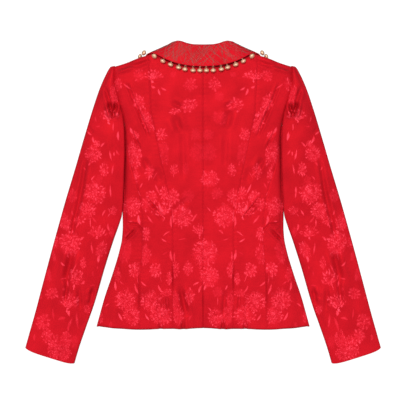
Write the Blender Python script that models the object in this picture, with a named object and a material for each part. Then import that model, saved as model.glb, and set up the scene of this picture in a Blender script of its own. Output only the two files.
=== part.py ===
"""A fitted brocade jacket with a turned-down collar edged with gold balls, laid flat on its front.

The back is up and the collar points to +Y. Sizes are in millimetres and are turned to metres
where a mesh is made. The jacket is the same on both sides of the centre back seam, so a place
on the cloth is given as out, the distance from that seam, up, the distance towards the collar
from the middle of the jacket's length, and z, the height above the surface it lies on.
"""
from collections import namedtuple
from math import cos, pi, radians, sin

import bmesh
import bpy
import numpy as np
from mathutils import Vector

MM = 0.001
SIDES = (("left", -1), ("right", 1))
AXES = ("out", "up", "z")

CLOTH = 1.6  # lined brocade
COLLAR_CLOTH = 1.8  # two layers with a stiffener
SEAM_GAP = 0.5  # between neighbouring pieces
SIDE_SEAM_GAP = 0.8  # at the side back seam, which runs aslant
UNDER_SEAM_GAP = 1.6  # at the side and shoulder seams, which lie underneath
SHOULDER_FOLD = 8.0  # how far the shoulder's rounded fold reaches past the flat of the back
NECK_EDGE = 5.0  # how far the neckline's edge goes on past the flat of the back
NECK_CORNER = (42.0, 84.0)  # where the corner between neckline and shoulder starts and ends
FOLD_RUN = 3.0  # how far a piece goes on flat after its fold
FRONT_HEM_UP = 1.5  # the front's hem lies this much higher than the back's
BALL_RADIUS = 5.6
BALL_SIDES = 8
BALL_STEP = 8.6  # from the collar's edge to the centre of a ball on the front
SHANK_RADIUS = 0.9
SHANK_GAP = 0.7  # from the end of a shank to the middle of the collar's edge
NECK_CENTRE_UP = 300.0  # the front's lift is worked out from the distance to this place
FRONT_LIFT = 12.8  # the front round the neck lies on the collar's balls
FRONT_LIFT_END = 129.0  # how far from that place it reaches in full
FRONT_LIFT_RUN = 60.0  # the length over which it falls to nothing
SLEEVE_CLEARANCE = 1.5  # from the side of the body up to the sleeve that lies on it
LIFT_MARGIN = 6.0  # the sleeve's under layer is up in full this far outside the body's edge
LIFT_RUN = 16.0  # and comes down to the surface over this length

Line = namedtuple("Line", "at value")
Body = namedtuple("Body", "up edge fold visible edge_z crown")
Sleeve = namedtuple("Sleeve", "outer_out outer_up inner_out inner_up crown outer_z inner_z low folded")
Crease = namedtuple("Crease", "out up end_out end_up width depth")
Collar = namedtuple(
    "Collar", "neck_out neck_up neck_z roll_out roll_up roll_z edge_out edge_up edge_z turn lean"
)
Ball = namedtuple("Ball", "out up z")

# The body from the hem to the shoulder. edge is the side of the cloth, fold the half thickness
# there, visible the line where the sleeve or the armhole ends what shows of the back, edge_z
# the height on that line and crown the height at the centre back.
BODY_ROWS = (
    Body(-262, 221.0, 4.0, 217.0, 8.0, 13.0),
    Body(-200, 203.8, 5.0, 198.8, 10.0, 16.0),
    Body(-150, 186.8, 6.0, 180.8, 12.0, 18.5),
    Body(-100, 171.9, 6.0, 165.9, 12.0, 20.0),
    Body(-75, 166.8, 6.0, 160.8, 12.0, 20.5),
    Body(-50, 165.2, 6.0, 159.2, 12.0, 21.0),
    Body(-25, 165.6, 5.5, 159.4, 11.0, 21.5),
    Body(0, 168.0, 4.5, 160.6, 10.8, 22.5),
    Body(30, 174.0, 3.5, 160.6, 11.0, 23.5),
    Body(70, 184.5, 3.0, 160.4, 11.0, 24.5),
    Body(110, 194.0, 2.8, 159.8, 11.0, 25.5),
    Body(145, 198.5, 2.8, 160.6, 12.0, 26.0),
    Body(180, 198.5, 2.8, 164.0, 17.0, 26.0),
    Body(200, 198.5, 2.8, 169.5, 19.0, 26.3),
    Body(223, 198.5, 2.8, 175.5, 19.6, 26.6),
    Body(247, 198.5, 2.8, 180.0, 19.8, 26.8),
    Body(320, 198.5, 2.8, 180.3, 19.4, 26.2),
)
PRINCESS_SEAM = (
    Line(-262, 62.0), Line(-48, 62.0), Line(-9, 64.6), Line(24, 72.8), Line(73, 83.0), Line(102, 89.0),
    Line(132, 94.7), Line(155, 100.5), Line(181, 106.0), Line(216, 107.4), Line(302, 111.5),
)
# The seam between side back and side, which starts at the armhole under the sleeve.
SIDE_TOP = 157.0
SIDE_SEAM = (
    Line(-262, 130.8), Line(-161, 129.2), Line(-124, 126.0), Line(-79, 123.4), Line(-38, 124.0),
    Line(-1, 127.0), Line(24, 133.3), Line(48, 140.4), Line(75, 148.6), Line(116, 156.8),
    Line(SIDE_TOP, 161.6),
)
ARMHOLE = (
    Line(SIDE_TOP, 161.6), Line(180, 164.0), Line(200, 169.5), Line(223, 175.5), Line(247, 180.0),
    Line(280, 180.3),
)
# Back neckline and shoulder, as up against out.
TOP_LINE = (
    Line(0, 297), Line(15, 298), Line(30, 301), Line(45, 306), Line(56, 312), Line(64, 317),
    Line(85, 310), Line(111, 300.5), Line(126, 296), Line(140, 291.2), Line(153, 286.4),
    Line(165, 282.5), Line(181, 277.5),
)
HEM_LINE = (
    Line(0, -259.5), Line(20, -260.5), Line(46, -262.0), Line(62, -261.3), Line(87, -261.3),
    Line(112, -262.6), Line(130, -263.0), Line(167, -261.3), Line(186, -259.9), Line(204, -257.7),
    Line(221, -255.2),
)
SIDE_HEM = (131.0, 219.0)  # where the side's hem starts and ends
HEM_SHARE = 0.2  # the share of the side's length over which its rows turn to the hem's curve
FRONT_NECK_LINE = (
    Line(0, 234), Line(20, 237), Line(40, 247.5), Line(55, 263.5), Line(62, 279), Line(66, 296),
    Line(70, 306),
)
FRONT_UNDERARM = (
    Line(135, 195.0), Line(141, 192.0), Line(148, 180.0), Line(154, 166.0), Line(158, 161.3),
    Line(180, 163.6),
)
UNDERARM_UP = 140.0  # where the underarm curve meets the side fold
UNDERARM_OUT = 198.5
UNDERARM_SLOPE = 0.46  # how much the underarm curve rises for each millimetre towards the seam
SIDE_TOP_UP = 150.0  # the side's height above this is that of its top
# Of the back's rise inwards from what shows of its edge, the near share comes within a few
# millimetres and the rest over a longer way. The cloth is creased only past the calm border.
NEAR_SHARE = 0.55
NEAR_RUN, FAR_RUN = 5.0, 30.0
CALM_BORDER = 12.0
# Soft creases of the back: drag lines from the armhole, the hollow between the shoulder
# blades, the puckers at the nipped waist and the flutes of the hem.
BODY_CREASES = (
    Crease(146, 228, 106, 125, 7, 2.4),
    Crease(140, 130, 112, 66, 7, 2.0),
    Crease(52, 175, 38, 40, 13, 2.2),
    Crease(118, -47, 152, -44, 5, 2.0),
    Crease(136, -58, 176, -88, 5, 3.0),
    Crease(40, -175, 40, -330, 7, 4.2),
    Crease(87, -215, 87, -310, 7, 3.0),
    Crease(14, -190, 12, -330, 8, 1.2),
    Crease(160, -190, 172, -330, 12, 1.2),
)
SLEEVE_ROWS = (
    Sleeve(190.2, 277.0, 181.0, 278.6, 17.6, 16.0, 18.0, 0.0, 0),
    Sleeve(194.2, 271.4, 180.9, 272.0, 20.0, 17.5, 19.8, 0.0, 0),
    Sleeve(199.0, 262.3, 180.9, 260.0, 21.5, 17.5, 20.2, 0.0, 0),
    Sleeve(205.6, 248.5, 180.8, 246.0, 22.5, 17.0, 20.2, 0.0, 0),
    Sleeve(214.0, 228.0, 177.4, 228.0, 23.0, 16.5, 19.8, 0.0, 0),
    Sleeve(222.4, 203.4, 171.2, 203.4, 23.5, 16.0, 19.6, 0.0, 0),
    Sleeve(230.4, 178.4, 164.2, 178.4, 24.0, 15.5, 19.4, 3.0, 0.3),
    Sleeve(239.4, 148.5, 161.5, 146.0, 24.0, 15.0, 20.5, 13.6, 1),
    Sleeve(250.8, 110.0, 160.6, 100.0, 24.0, 14.5, 20.5, 12.6, 1),
    Sleeve(261.8, 72.0, 161.8, 54.0, 24.0, 14.0, 20.5, 12.6, 1),
    Sleeve(272.8, 35.5, 163.4, 12.0, 23.5, 14.0, 20.0, 12.6, 1),
    Sleeve(282.8, 2.0, 165.7, -24.0, 22.5, 14.0, 17.5, 9.6, 1),
    Sleeve(288.8, -19.0, 170.8, -42.0, 21.5, 13.5, 14.5, 3.0, 1),
    Sleeve(298.3, -53.0, 184.2, -80.0, 20.5, 13.0, 13.0, 0.0, 1),
    Sleeve(312.2, -103.5, 201.1, -133.0, 19.5, 12.0, 12.0, 0.0, 1),
    Sleeve(331.9, -177.3, 223.0, -208.0, 17.5, 11.0, 11.0, 0.0, 1),
    Sleeve(345.5, -228.5, 241.3, -260.0, 15.5, 10.0, 10.0, 0.0, 1),
    Sleeve(357.3, -270.0, 255.6, -302.0, 13.5, 9.0, 9.0, 0.0, 1),
    Sleeve(365.6, -299.5, 264.2, -331.5, 11.5, 8.0, 8.0, 0.0, 1),
)
SLEEVE_FOLD = 6.5  # how far the rounded outer fold of the sleeve reaches
INNER_FOLD = 4.5
LOW_SHARE = 0.72  # the share of the under layer that lies flat, before it rises to the inner fold
CROWN_FLATNESS = 2.4  # how flat the top of the sleeve is between its folds
ARMHOLE_ROLL = 3.0  # the seam's roll where the sleeve isn't folded, and how much it drops
ARMHOLE_DROP = 1.4
CAP_ROUND = 9.0  # the length over which the sleeve head rounds down at the shoulder
CUFF_BULGE = 4.2  # the cuff's edge hangs this much lower between its folds
CUFF_SHARE = 0.1  # the share of the sleeve's length over which it does
CAP_SHARE = 0.05  # the share in which the sleeve isn't lifted yet, and in which its lift starts
CREASED_ABOVE = 9.0  # only cloth above this height is creased
CREASED_RUN = 4.0
# The dimple beside the armhole, and the slack of the elbow and forearm.
SLEEVE_CREASES = (
    Crease(194, 201, 182, 176, 6, 4.0),
    Crease(228, 150, 206, 96, 10, 1.4),
    Crease(266, -20, 275, -150, 10, 2.2),
    Crease(250, -160, 262, -215, 7, 2.0),
    Crease(214, -190, 240, -214, 5, 2.4),
    Crease(300, -150, 318, -240, 9, 1.4),
    Crease(222, -70, 236, -140, 10, 1.4),
)
# The collar from the centre back, over the shoulder and round to the centre front: the neckline
# it is sewn to, the line where it rolls over and its edge with the balls. turn is the radius of
# the roll and lean the direction in which it turns, 0 up, 90 outwards and 180 down.
COLLAR_ROWS = (
    Collar(0.0, 297.8, 25.4, 0.0, 322.4, 28.8, 0.0, 276.1, 30.6, 2.6, 0),
    Collar(15.0, 298.8, 25.4, 17.4, 323.2, 28.8, 22.0, 277.2, 30.6, 2.6, 0),
    Collar(29.0, 301.9, 25.4, 33.0, 326.4, 28.6, 42.0, 279.9, 30.5, 2.6, 0),
    Collar(40.0, 305.8, 25.3, 43.0, 329.0, 28.2, 60.0, 284.6, 30.3, 2.6, 0),
    Collar(48.0, 309.6, 25.1, 50.0, 329.9, 27.4, 76.0, 291.0, 29.9, 2.4, 12),
    Collar(55.0, 314.5, 24.0, 56.0, 328.4, 25.0, 90.0, 298.2, 28.8, 2.0, 35),
    Collar(60.0, 317.6, 21.5, 60.0, 326.6, 21.0, 102.0, 303.4, 25.0, 1.8, 65),
    Collar(63.0, 317.5, 17.5, 62.5, 324.2, 16.0, 110.5, 303.9, 17.0, 1.5, 100),
    Collar(65.5, 312.5, 13.2, 63.0, 319.0, 11.4, 118.0, 299.0, 8.2, 1.0, 150),
    Collar(68.0, 304.6, 11.6, 64.2, 306.0, 10.6, 121.0, 288.5, 5.9, 1.0, 180),
    Collar(69.2, 290.0, 11.6, 65.5, 291.0, 10.6, 117.0, 267.0, 5.8, 1.0, 180),
    Collar(65.3, 272.8, 11.6, 62.0, 275.0, 10.6, 103.5, 243.0, 5.8, 1.0, 180),
    Collar(54.5, 254.8, 11.6, 52.0, 258.0, 10.6, 82.0, 219.5, 5.8, 1.0, 180),
    Collar(37.6, 239.8, 11.6, 36.0, 243.5, 10.6, 54.0, 202.5, 5.8, 1.0, 180),
    Collar(20.6, 232.5, 11.6, 20.0, 236.5, 10.6, 26.0, 195.0, 5.8, 1.0, 180),
    Collar(4.3, 230.0, 11.6, 4.0, 234.0, 10.6, 8.0, 201.0, 5.8, 1.0, 180),
)
COLLAR_STATIONS = 17  # the rows of its grid, from the centre back to the centre front
STAND_COLUMNS, ROLL_COLUMNS, FALL_COLUMNS = 3, 4, 5
BACK_BALLS = (
    Ball(6.6, 267.7, 0), Ball(20.5, 267.7, 0), Ball(37.0, 270.0, 0), Ball(50.0, 273.8, 0),
    Ball(66.4, 279.6, 0), Ball(82.0, 286.6, 0), Ball(99.6, 296.6, 0),
)
SHOULDER_BALLS = (Ball(121.4, 305.4, 13.6), Ball(129.8, 298.6, 5.6))
FRONT_BALL_COUNT = 9
FRONT_BALL_SPACING = 16.0

BROCADE_RED = (0.665, 0.012, 0.022)
COLLAR_RED = (0.58, 0.02, 0.03)
GOLD = (0.83, 0.55, 0.27)


def smoothstep(t):
    t = np.clip(t, 0, 1)
    return t * t * (3 - 2 * t)


def curve(xs, ys, at):
    """A smooth curve through the given places that doesn't overshoot between them."""
    xs, ys, at = np.asarray(xs, float), np.asarray(ys, float), np.asarray(at, float)
    step = np.diff(xs)
    slope = np.diff(ys) / step
    tangent = np.zeros_like(ys)
    total = slope[:-1] + slope[1:]
    same_way = slope[:-1] * slope[1:] > 0
    tangent[1:-1][same_way] = (2 * slope[:-1] * slope[1:])[same_way] / total[same_way]
    tangent[0], tangent[-1] = slope[0], slope[-1]
    i = np.clip(np.searchsorted(xs, at, side="right") - 1, 0, len(step) - 1)
    t = np.clip((at - xs[i]) / step[i], 0, 1)
    h = step[i]
    return (
        (1 + 2 * t) * (1 - t) ** 2 * ys[i]
        + t * (1 - t) ** 2 * h * tangent[i]
        + t * t * (3 - 2 * t) * ys[i + 1]
        + t * t * (t - 1) * h * tangent[i + 1]
    )


def line(rows, at):
    """The value of a table of Line rows at a place."""
    return curve([row.at for row in rows], [row.value for row in rows], at)


def body(name, up):
    """One column of the body's table at the height up."""
    return curve([row.up for row in BODY_ROWS], [getattr(row, name) for row in BODY_ROWS], up)


def creases(rows, out, up):
    """How much the soft creases lower the cloth."""
    drop = np.zeros(np.broadcast(out, up).shape)
    for row in rows:
        along = np.array([row.end_out - row.out, row.end_up - row.up], float)
        length = np.hypot(*along)
        along /= length
        reach = ((out - row.out) * along[0] + (up - row.up) * along[1]) / length
        aside = (out - row.out) * along[1] - (up - row.up) * along[0]
        fade = smoothstep(reach / 0.35) * smoothstep((1 - reach) / 0.35)
        drop = drop + row.depth * fade * np.exp(-((aside / row.width) ** 2))
    return drop


def front_height(out, up):
    """The underside of the front, which is flat on the surface but for the part on the collar."""
    from_neck = np.hypot(out, up - NECK_CENTRE_UP)
    return FRONT_LIFT * (1 - smoothstep((from_neck - FRONT_LIFT_END) / FRONT_LIFT_RUN))


def back_height(out, up):
    """The outer surface of the back, with what lies hidden under the sleeve."""
    edge, fold, visible = body("edge", up), body("fold", up), body("visible", up)
    edge_z, crown = body("edge_z", up), body("crown", up)
    inside = np.maximum(visible - out, 0)
    near, far = 1 - np.exp(-inside / NEAR_RUN), 1 - np.exp(-inside / FAR_RUN)
    rise = NEAR_SHARE * near + (1 - NEAR_SHARE) * far
    flap = smoothstep((out - visible) / np.maximum(edge - fold - visible, 1))
    height = edge_z + (crown - edge_z) * rise + (2 * fold - edge_z) * flap
    calm = smoothstep(inside / CALM_BORDER)
    return height - creases(BODY_CREASES, out, up) * calm


def sleeve_lift(out, up):
    """How high the sleeve's under layer has to be to lie on the side of the body."""
    underarm_top = UNDERARM_UP + (UNDERARM_OUT - out) * UNDERARM_SLOPE
    inside = np.minimum(body("edge", up) - out, underarm_top - up) + LIFT_MARGIN
    cover = back_height(out, np.minimum(up, SIDE_TOP_UP)) + SLEEVE_CLEARANCE
    return cover * (1 - smoothstep(-inside / LIFT_RUN))


def grid(rows, columns):
    """Evenly spaced parameters from 0 to 1, down the rows and across the columns."""
    return np.meshgrid(np.linspace(0, 1, rows), np.linspace(0, 1, columns), indexing="ij")


def panel_plan(v, u, inner, outer, top, hem):
    """out and up over a panel between two seams, a top edge and a hem."""
    up = np.full(np.shape(v), 0.0)
    out = np.full(np.shape(v), 0.0)
    for _ in range(12):
        out = inner(up) + (outer(up) - inner(up)) * u
        up = top(out) + (hem(out) - top(out)) * v
    return out, up


def corner_turn(out):
    """From 0 along the back neckline to 1 along the shoulder, which is folded."""
    start, end = NECK_CORNER
    return smoothstep((out - start) / (end - start))


def fold_start(out):
    """The line where the back starts to round down at the shoulder."""
    turn = corner_turn(out)
    return line(TOP_LINE, out) - SHOULDER_FOLD * turn - NECK_EDGE * (1 - turn)


def back_panel(inner, outer, rows, columns, fold_rows):
    """A panel of the back. Its first rows go round the shoulder's fold, and the rest run to the hem."""
    v, u = grid(rows, columns)
    out, up = panel_plan(v, u, inner, outer, fold_start, lambda at: line(HEM_LINE, at))
    flat = np.stack([out, up, back_height(out, up)], axis=-1)
    angle = pi * np.linspace(1, 0, fold_rows, endpoint=False)[:, None]
    out, up, height = (flat[0, :, k][None, :] for k in range(3))
    turn = corner_turn(out)
    half = (height - front_height(out, up)) / 2
    reach = turn * SHOULDER_FOLD * np.sin(angle) + (1 - turn) * NECK_EDGE * angle / pi
    drop = turn * half * (1 - np.cos(angle))
    rounded = np.stack([out + 0 * reach, up + reach, height - drop], axis=-1)
    return np.concatenate([rounded, flat])


def side_panel(seam, columns, fold_columns):
    """The side of the back, from the points of its seam under the sleeve round the side fold."""
    v = np.linspace(0, 1, len(seam))[:, None]
    u = np.linspace(0, 1, columns)[None, :]
    start = seam[:, 0][:, None] + SIDE_SEAM_GAP
    seam_up = seam[:, 1][:, None]
    edge_up = UNDERARM_UP + (line(HEM_LINE, SIDE_HEM[1]) - UNDERARM_UP) * v
    end = body("edge", edge_up) - body("fold", edge_up)
    out = start + (end - start) * u
    up = seam_up + (edge_up - seam_up) * u
    hem_start, hem_end = line(HEM_LINE, SIDE_HEM[0]), line(HEM_LINE, SIDE_HEM[1])
    hem_sag = line(HEM_LINE, out) - (hem_start + (hem_end - hem_start) * u)
    up = up + hem_sag * smoothstep((v - 1 + HEM_SHARE) / HEM_SHARE)
    flat = np.stack([out, up, back_height(out, up)], axis=-1)
    angle = pi * np.linspace(0, 1, fold_columns + 1)[1:][None, :]
    out, up, height = (flat[:, -1, k][:, None] for k in range(3))
    fold = body("fold", up)
    rounded = np.stack(
        [out + fold * np.sin(angle), up + 0 * angle, height - height / 2 * (1 - np.cos(angle))], axis=-1
    )
    return np.concatenate([flat, rounded, rounded[:, -1:] - (FOLD_RUN, 0, 0)], axis=1)


def front_panel(rows, columns):
    """One front, flat on the surface, from the centre front to the side fold and the armhole."""
    v, u = grid(rows, columns)

    def outer(up):
        side = body("edge", up) - body("fold", up) - FOLD_RUN - UNDER_SEAM_GAP
        armhole = np.where(up > 180, line(ARMHOLE, up) - SEAM_GAP, line(FRONT_UNDERARM, up))
        return np.where(up > 135, armhole, side)

    def top(out):
        shoulder = fold_start(out) - UNDER_SEAM_GAP
        return np.where(out > 70, shoulder, np.minimum(line(FRONT_NECK_LINE, out), shoulder))

    def hem(out):
        return line(HEM_LINE, out) + FRONT_HEM_UP

    out, up = panel_plan(v, u, lambda at: SEAM_GAP / 2, outer, top, hem)
    return np.stack([out, up, front_height(out, up)], axis=-1)


def sleeve_column(name, v):
    """One column of the sleeve's table, v from 0 at the shoulder to 1 at the cuff."""
    length = np.cumsum([0] + [
        (np.hypot(b.outer_out - a.outer_out, b.outer_up - a.outer_up)
         + np.hypot(b.inner_out - a.inner_out, b.inner_up - a.inner_up)) / 2
        for a, b in zip(SLEEVE_ROWS, SLEEVE_ROWS[1:])
    ])
    return curve(length / length[-1], [getattr(row, name) for row in SLEEVE_ROWS], v)


def sleeve_stations(count):
    """Places down the sleeve, closer together where the sleeve head rounds down."""
    even = np.linspace(0, 1, count)
    return even * (0.55 + 0.45 * even)


def sleeve_frame(v):
    """The outer and inner corner of the sleeve's section, and the unit step between them."""
    outer = np.stack([sleeve_column("outer_out", v), sleeve_column("outer_up", v)], axis=-1)
    inner = np.stack([sleeve_column("inner_out", v), sleeve_column("inner_up", v)], axis=-1)
    width = np.linalg.norm(inner - outer, axis=-1, keepdims=True)
    return outer, inner, width[..., 0], (inner - outer) / width


def cap_share(v):
    """The share of the full height that the section has where the sleeve head rounds down."""
    from_end = np.clip((SLEEVE_ROWS[0].outer_up + 3 - sleeve_column("outer_up", v)) / CAP_ROUND, 0, 1)
    return np.sqrt(1 - (1 - from_end) ** 2)


def sleeve(rows, under_columns, fold_columns, upper_columns):
    """The outside of the sleeve: its under layer, its outer fold, its upper layer and its inner fold.

    Near the shoulder it stays open towards the body, and that opening is the armhole. Below, its
    two edges meet under the inner fold.
    """
    v = sleeve_stations(rows)[:, None]
    outer, inner, width, step = sleeve_frame(v)
    folded = sleeve_column("folded", v)
    outer_fold = np.minimum(SLEEVE_FOLD, width * 0.5)
    inner_reach = np.minimum(INNER_FOLD * folded + ARMHOLE_ROLL * (1 - folded), width * 0.3)
    outer_z, inner_z, crown = (sleeve_column(name, v) for name in ("outer_z", "inner_z", "crown"))
    low = sleeve_column("low", v)

    across = np.linspace(1, 0, under_columns)[None, :]
    under_end = width - folded * (INNER_FOLD + FOLD_RUN) - SEAM_GAP
    under_place = outer_fold + (under_end - outer_fold) * across
    under_height = low * folded * smoothstep((across - LOW_SHARE) / (1 - LOW_SHARE))

    angle = pi * np.linspace(1, 0, fold_columns + 1)[None, 1:]
    outer_place = outer_fold * (1 - np.sin(angle))
    outer_height = outer_z / 2 * (1 + np.cos(angle))

    across = np.linspace(0, 1, upper_columns)[None, 1:]
    upper_place = outer_fold + (width - outer_fold - inner_reach) * across
    upper_height = outer_z + (inner_z - outer_z) * across
    arch = 1 - np.abs(2 * across - 1) ** CROWN_FLATNESS
    upper_height = upper_height + (crown - (outer_z + inner_z) / 2) * arch

    angle = pi * np.linspace(0, 1, fold_columns + 1)[None, 1:]
    straight = (1 - folded) * angle / pi
    inner_place = width - inner_reach + folded * INNER_FOLD * np.sin(angle) + straight * inner_reach * 0.7
    inner_height = inner_z - folded * (inner_z - low) / 2 * (1 - np.cos(angle)) - straight * ARMHOLE_DROP

    run_place = inner_place[:, -1:] - folded * FOLD_RUN + (1 - folded) * inner_reach * 0.3
    place = np.concatenate([under_place, outer_place, upper_place, inner_place, run_place], axis=1)
    run_height = inner_height[:, -1:]
    height = np.concatenate([under_height, outer_height, upper_height, inner_height, run_height], axis=1)
    plan = outer + step * place[..., None]
    bulge = CUFF_BULGE * (1 - np.abs(2 * place / width - 1) ** 6)
    bulge = bulge * smoothstep((v - 1 + CUFF_SHARE) / CUFF_SHARE)
    plan = plan + bulge[..., None] * np.stack([-step[..., 1], step[..., 0]], axis=-1)
    is_under = np.arange(height.shape[1]) < under_columns
    lift = sleeve_lift(plan[..., 0], plan[..., 1]) * smoothstep((v - CAP_SHARE) / CAP_SHARE)
    height = np.where(is_under, np.maximum(height, lift), height)
    top = smoothstep((height - CREASED_ABOVE) / CREASED_RUN) * ~is_under
    height = height - creases(SLEEVE_CREASES, plan[..., 0], plan[..., 1]) * top
    middle = outer_z / 2
    height = middle + (height - middle) * cap_share(v)
    return np.concatenate([plan, height[..., None]], axis=-1)


def collar_value(name, s):
    """One column of the collar's table, s from 0 at the centre back to 1 at the centre front."""
    return curve(np.linspace(0, 1, len(COLLAR_ROWS)), [getattr(row, name) for row in COLLAR_ROWS], s)


def collar_line(name, s):
    """The points of the collar's neck, roll or edge."""
    return np.stack([collar_value(f"{name}_{part}", s) for part in AXES], axis=-1)


def collar_half():
    """The middle surface of one half of the collar: its stand, the roll and the fall with the edge."""
    s = np.linspace(0, 1, COLLAR_STATIONS)
    neck, inner, outer = (collar_line(name, s)[:, None, :] for name in ("neck", "roll", "edge"))
    turn, lean = (collar_value(name, s)[:, None, None] for name in ("turn", "lean"))
    step = (outer - inner) * (1, 1, 0)
    step = step / np.linalg.norm(step, axis=-1, keepdims=True)
    outwards = np.stack([-step[..., 1], step[..., 0], 0 * step[..., 0]], axis=-1)
    rise = turn * (np.cos(np.radians(lean)) * (0, 0, 1) + np.sin(np.radians(lean)) * outwards)
    centre = inner + step * turn
    angle = pi * (np.linspace(0, 1, ROLL_COLUMNS + 1) - 0.5)[None, :, None]
    roll = centre - step * turn * np.cos(angle) + rise * np.sin(angle)
    stand = neck + (roll[:, :1] - neck) * np.linspace(0, 1, STAND_COLUMNS, endpoint=False)[None, :, None]
    fall = roll[:, -1:] + (outer - roll[:, -1:]) * np.linspace(0, 1, FALL_COLUMNS + 1)[None, 1:, None]
    return np.concatenate([stand, roll, fall], axis=1)


def both_halves(half):
    """A grid that starts at the centre back, with its mirror image put before it."""
    return np.concatenate([half[:0:-1] * (-1, 1, 1), half])


def cloth(name, surface, material, side=1, thickness=CLOTH, offset=-1, facing=1):
    """A cloth piece: a grid moved onto the given surface, and given its thickness.

    facing is 1 where the surface's outside is up on average and -1 where it is down.
    """
    rows, columns = surface.shape[:2]
    work = bmesh.new()
    bmesh.ops.create_grid(work, x_segments=columns - 1, y_segments=rows - 1, size=0.5)
    for vertex, place in zip(work.verts, surface.reshape(-1, 3) * MM * (side, 1, 1)):
        vertex.co = place
    work.normal_update()
    if facing * sum(face.normal.z * face.calc_area() for face in work.faces) < 0:
        bmesh.ops.reverse_faces(work, faces=work.faces)
    mesh = bpy.data.meshes.new(name)
    work.to_mesh(mesh)
    work.free()
    mesh.materials.append(material)
    mesh.shade_smooth()
    obj = bpy.data.objects.new(name, mesh)
    bpy.context.scene.collection.objects.link(obj)
    wall = obj.modifiers.new("cloth", "SOLIDIFY")
    wall.thickness = thickness * MM
    wall.offset = offset
    return obj


def ball(name, centre, hook, material):
    """A gold ball with its shank, turned round the line from the ball's centre to its hook."""
    toward = Vector(hook - centre)
    arc = [radians(turn) for turn in (0, 45, 90, 135)]
    profile = [(0, toward.length), (SHANK_RADIUS, toward.length), (SHANK_RADIUS, 0.98 * BALL_RADIUS)]
    profile += [(BALL_RADIUS * sin(turn), BALL_RADIUS * cos(turn)) for turn in arc[1:]]
    profile += [(0, -BALL_RADIUS)]
    mesh = bpy.data.meshes.new(name)
    points = [(radius * MM, 0, along * MM) for radius, along in profile]
    mesh.from_pydata(points, [(k, k + 1) for k in range(len(points) - 1)], [])
    mesh.materials.append(material)
    obj = bpy.data.objects.new(name, mesh)
    bpy.context.scene.collection.objects.link(obj)
    turned = obj.modifiers.new("turned", "SCREW")
    turned.steps = BALL_SIDES
    turned.render_steps = BALL_SIDES
    turned.use_merge_vertices = True
    turned.merge_threshold = 0.00001
    obj.location = Vector(centre) * MM
    obj.rotation_mode = "QUATERNION"
    obj.rotation_quaternion = toward.to_track_quat("Z", "Y")
    return obj


def ball_places():
    """The centre of each ball of one half and the place where its shank meets the collar's edge."""
    rows, s = np.linspace(0, 1, COLLAR_STATIONS), np.linspace(0, 1, 1500)
    edge, inner = (
        np.stack([np.interp(s, rows, column) for column in collar_line(name, rows).T], axis=-1)
        for name in ("edge", "roll")
    )
    run = np.concatenate([[0], np.cumsum(np.linalg.norm(np.diff(edge, axis=0), axis=1))])
    centres = [
        (row.out, row.up, back_height(row.out, row.up) + BALL_RADIUS + SEAM_GAP) for row in BACK_BALLS
    ]
    centres += [(row.out, row.up, row.z) for row in SHOULDER_BALLS]
    last = np.argmin(np.linalg.norm(edge - centres[-1], axis=1))
    for k in range(FRONT_BALL_COUNT):
        i = np.argmin(np.abs(run - run[last] - (k + 1) * FRONT_BALL_SPACING))
        along = edge[i + 1] - edge[i - 1]
        hang = np.array([along[1], -along[0], 0])
        hang *= np.sign(hang @ (edge[i] - inner[i])) / np.linalg.norm(hang)
        centre = edge[i] + hang * BALL_STEP
        centre[2] = BALL_RADIUS
        centres.append(centre)
    places = []
    for centre in np.array(centres, float):
        nearest = edge[np.argmin(np.linalg.norm(edge - centre, axis=1))]
        reach = np.linalg.norm(nearest - centre)
        places.append((centre, centre + (nearest - centre) * (reach - SHANK_GAP) / reach))
    return places


def finish(name, colour, roughness, metallic=0.0):
    """A plain material of one colour."""
    material = bpy.data.materials.new(name)
    material.use_nodes = True
    shader = material.node_tree.nodes["Principled BSDF"]
    shader.inputs["Base Color"].default_value = (*colour, 1)
    shader.inputs["Roughness"].default_value = roughness
    shader.inputs["Metallic"].default_value = metallic
    return material


def build():
    for obj in list(bpy.data.objects):
        bpy.data.objects.remove(obj)
    brocade = finish("brocade", BROCADE_RED, 0.45)
    collar_brocade = finish("collar_brocade", COLLAR_RED, 0.55)
    gold = finish("gold", GOLD, 0.3, 1.0)
    half_gap = SEAM_GAP / 2

    def centre_seam(up):
        return half_gap + 0 * up

    def princess(up):
        return line(PRINCESS_SEAM, up)

    def side_back_edge(up):
        return np.where(up > SIDE_TOP, line(ARMHOLE, up), line(SIDE_SEAM, up))

    back_side = back_panel(lambda up: princess(up) + half_gap, side_back_edge, 20, 6, 3)
    side_back_seam = back_side[3:, -1]
    outside_pieces = {
        "back_center": back_panel(centre_seam, lambda up: princess(up) - half_gap, 20, 9, 3),
        "back_side": back_side,
        "side": side_panel(side_back_seam[side_back_seam[:, 1] < SIDE_TOP], 5, 4),
    }
    for side_name, side in SIDES:
        for piece_name, surface in outside_pieces.items():
            cloth(f"{piece_name}_{side_name}", surface, brocade, side)
        cloth(f"front_{side_name}", front_panel(15, 8), brocade, side, offset=1)
        cloth(f"sleeve_{side_name}", sleeve(20, 6, 3, 7), brocade, side)
        for k, (centre, hook) in enumerate(ball_places()):
            ball(f"ball_{side_name}_{k + 1:02d}", centre * (side, 1, 1), hook * (side, 1, 1), gold)
    cloth("collar", both_halves(collar_half()), collar_brocade, thickness=COLLAR_CLOTH, offset=0)


build()
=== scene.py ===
"""The looks of a fitted red brocade jacket that lies flat on its front, back up, collar to +Y.

Sizes are in millimetres and are turned to metres where a mesh is made. The cut is the same on
both sides of the centre back seam, so a place on the cloth is given as out, the distance from
that seam, up, the distance towards the collar from the middle of the jacket, and z, the height
above the surface. A side is -1 on the left and 1 on the right, and a row with no side is for both.
"""
from collections import namedtuple
from math import cos, pi, radians, sin

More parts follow.
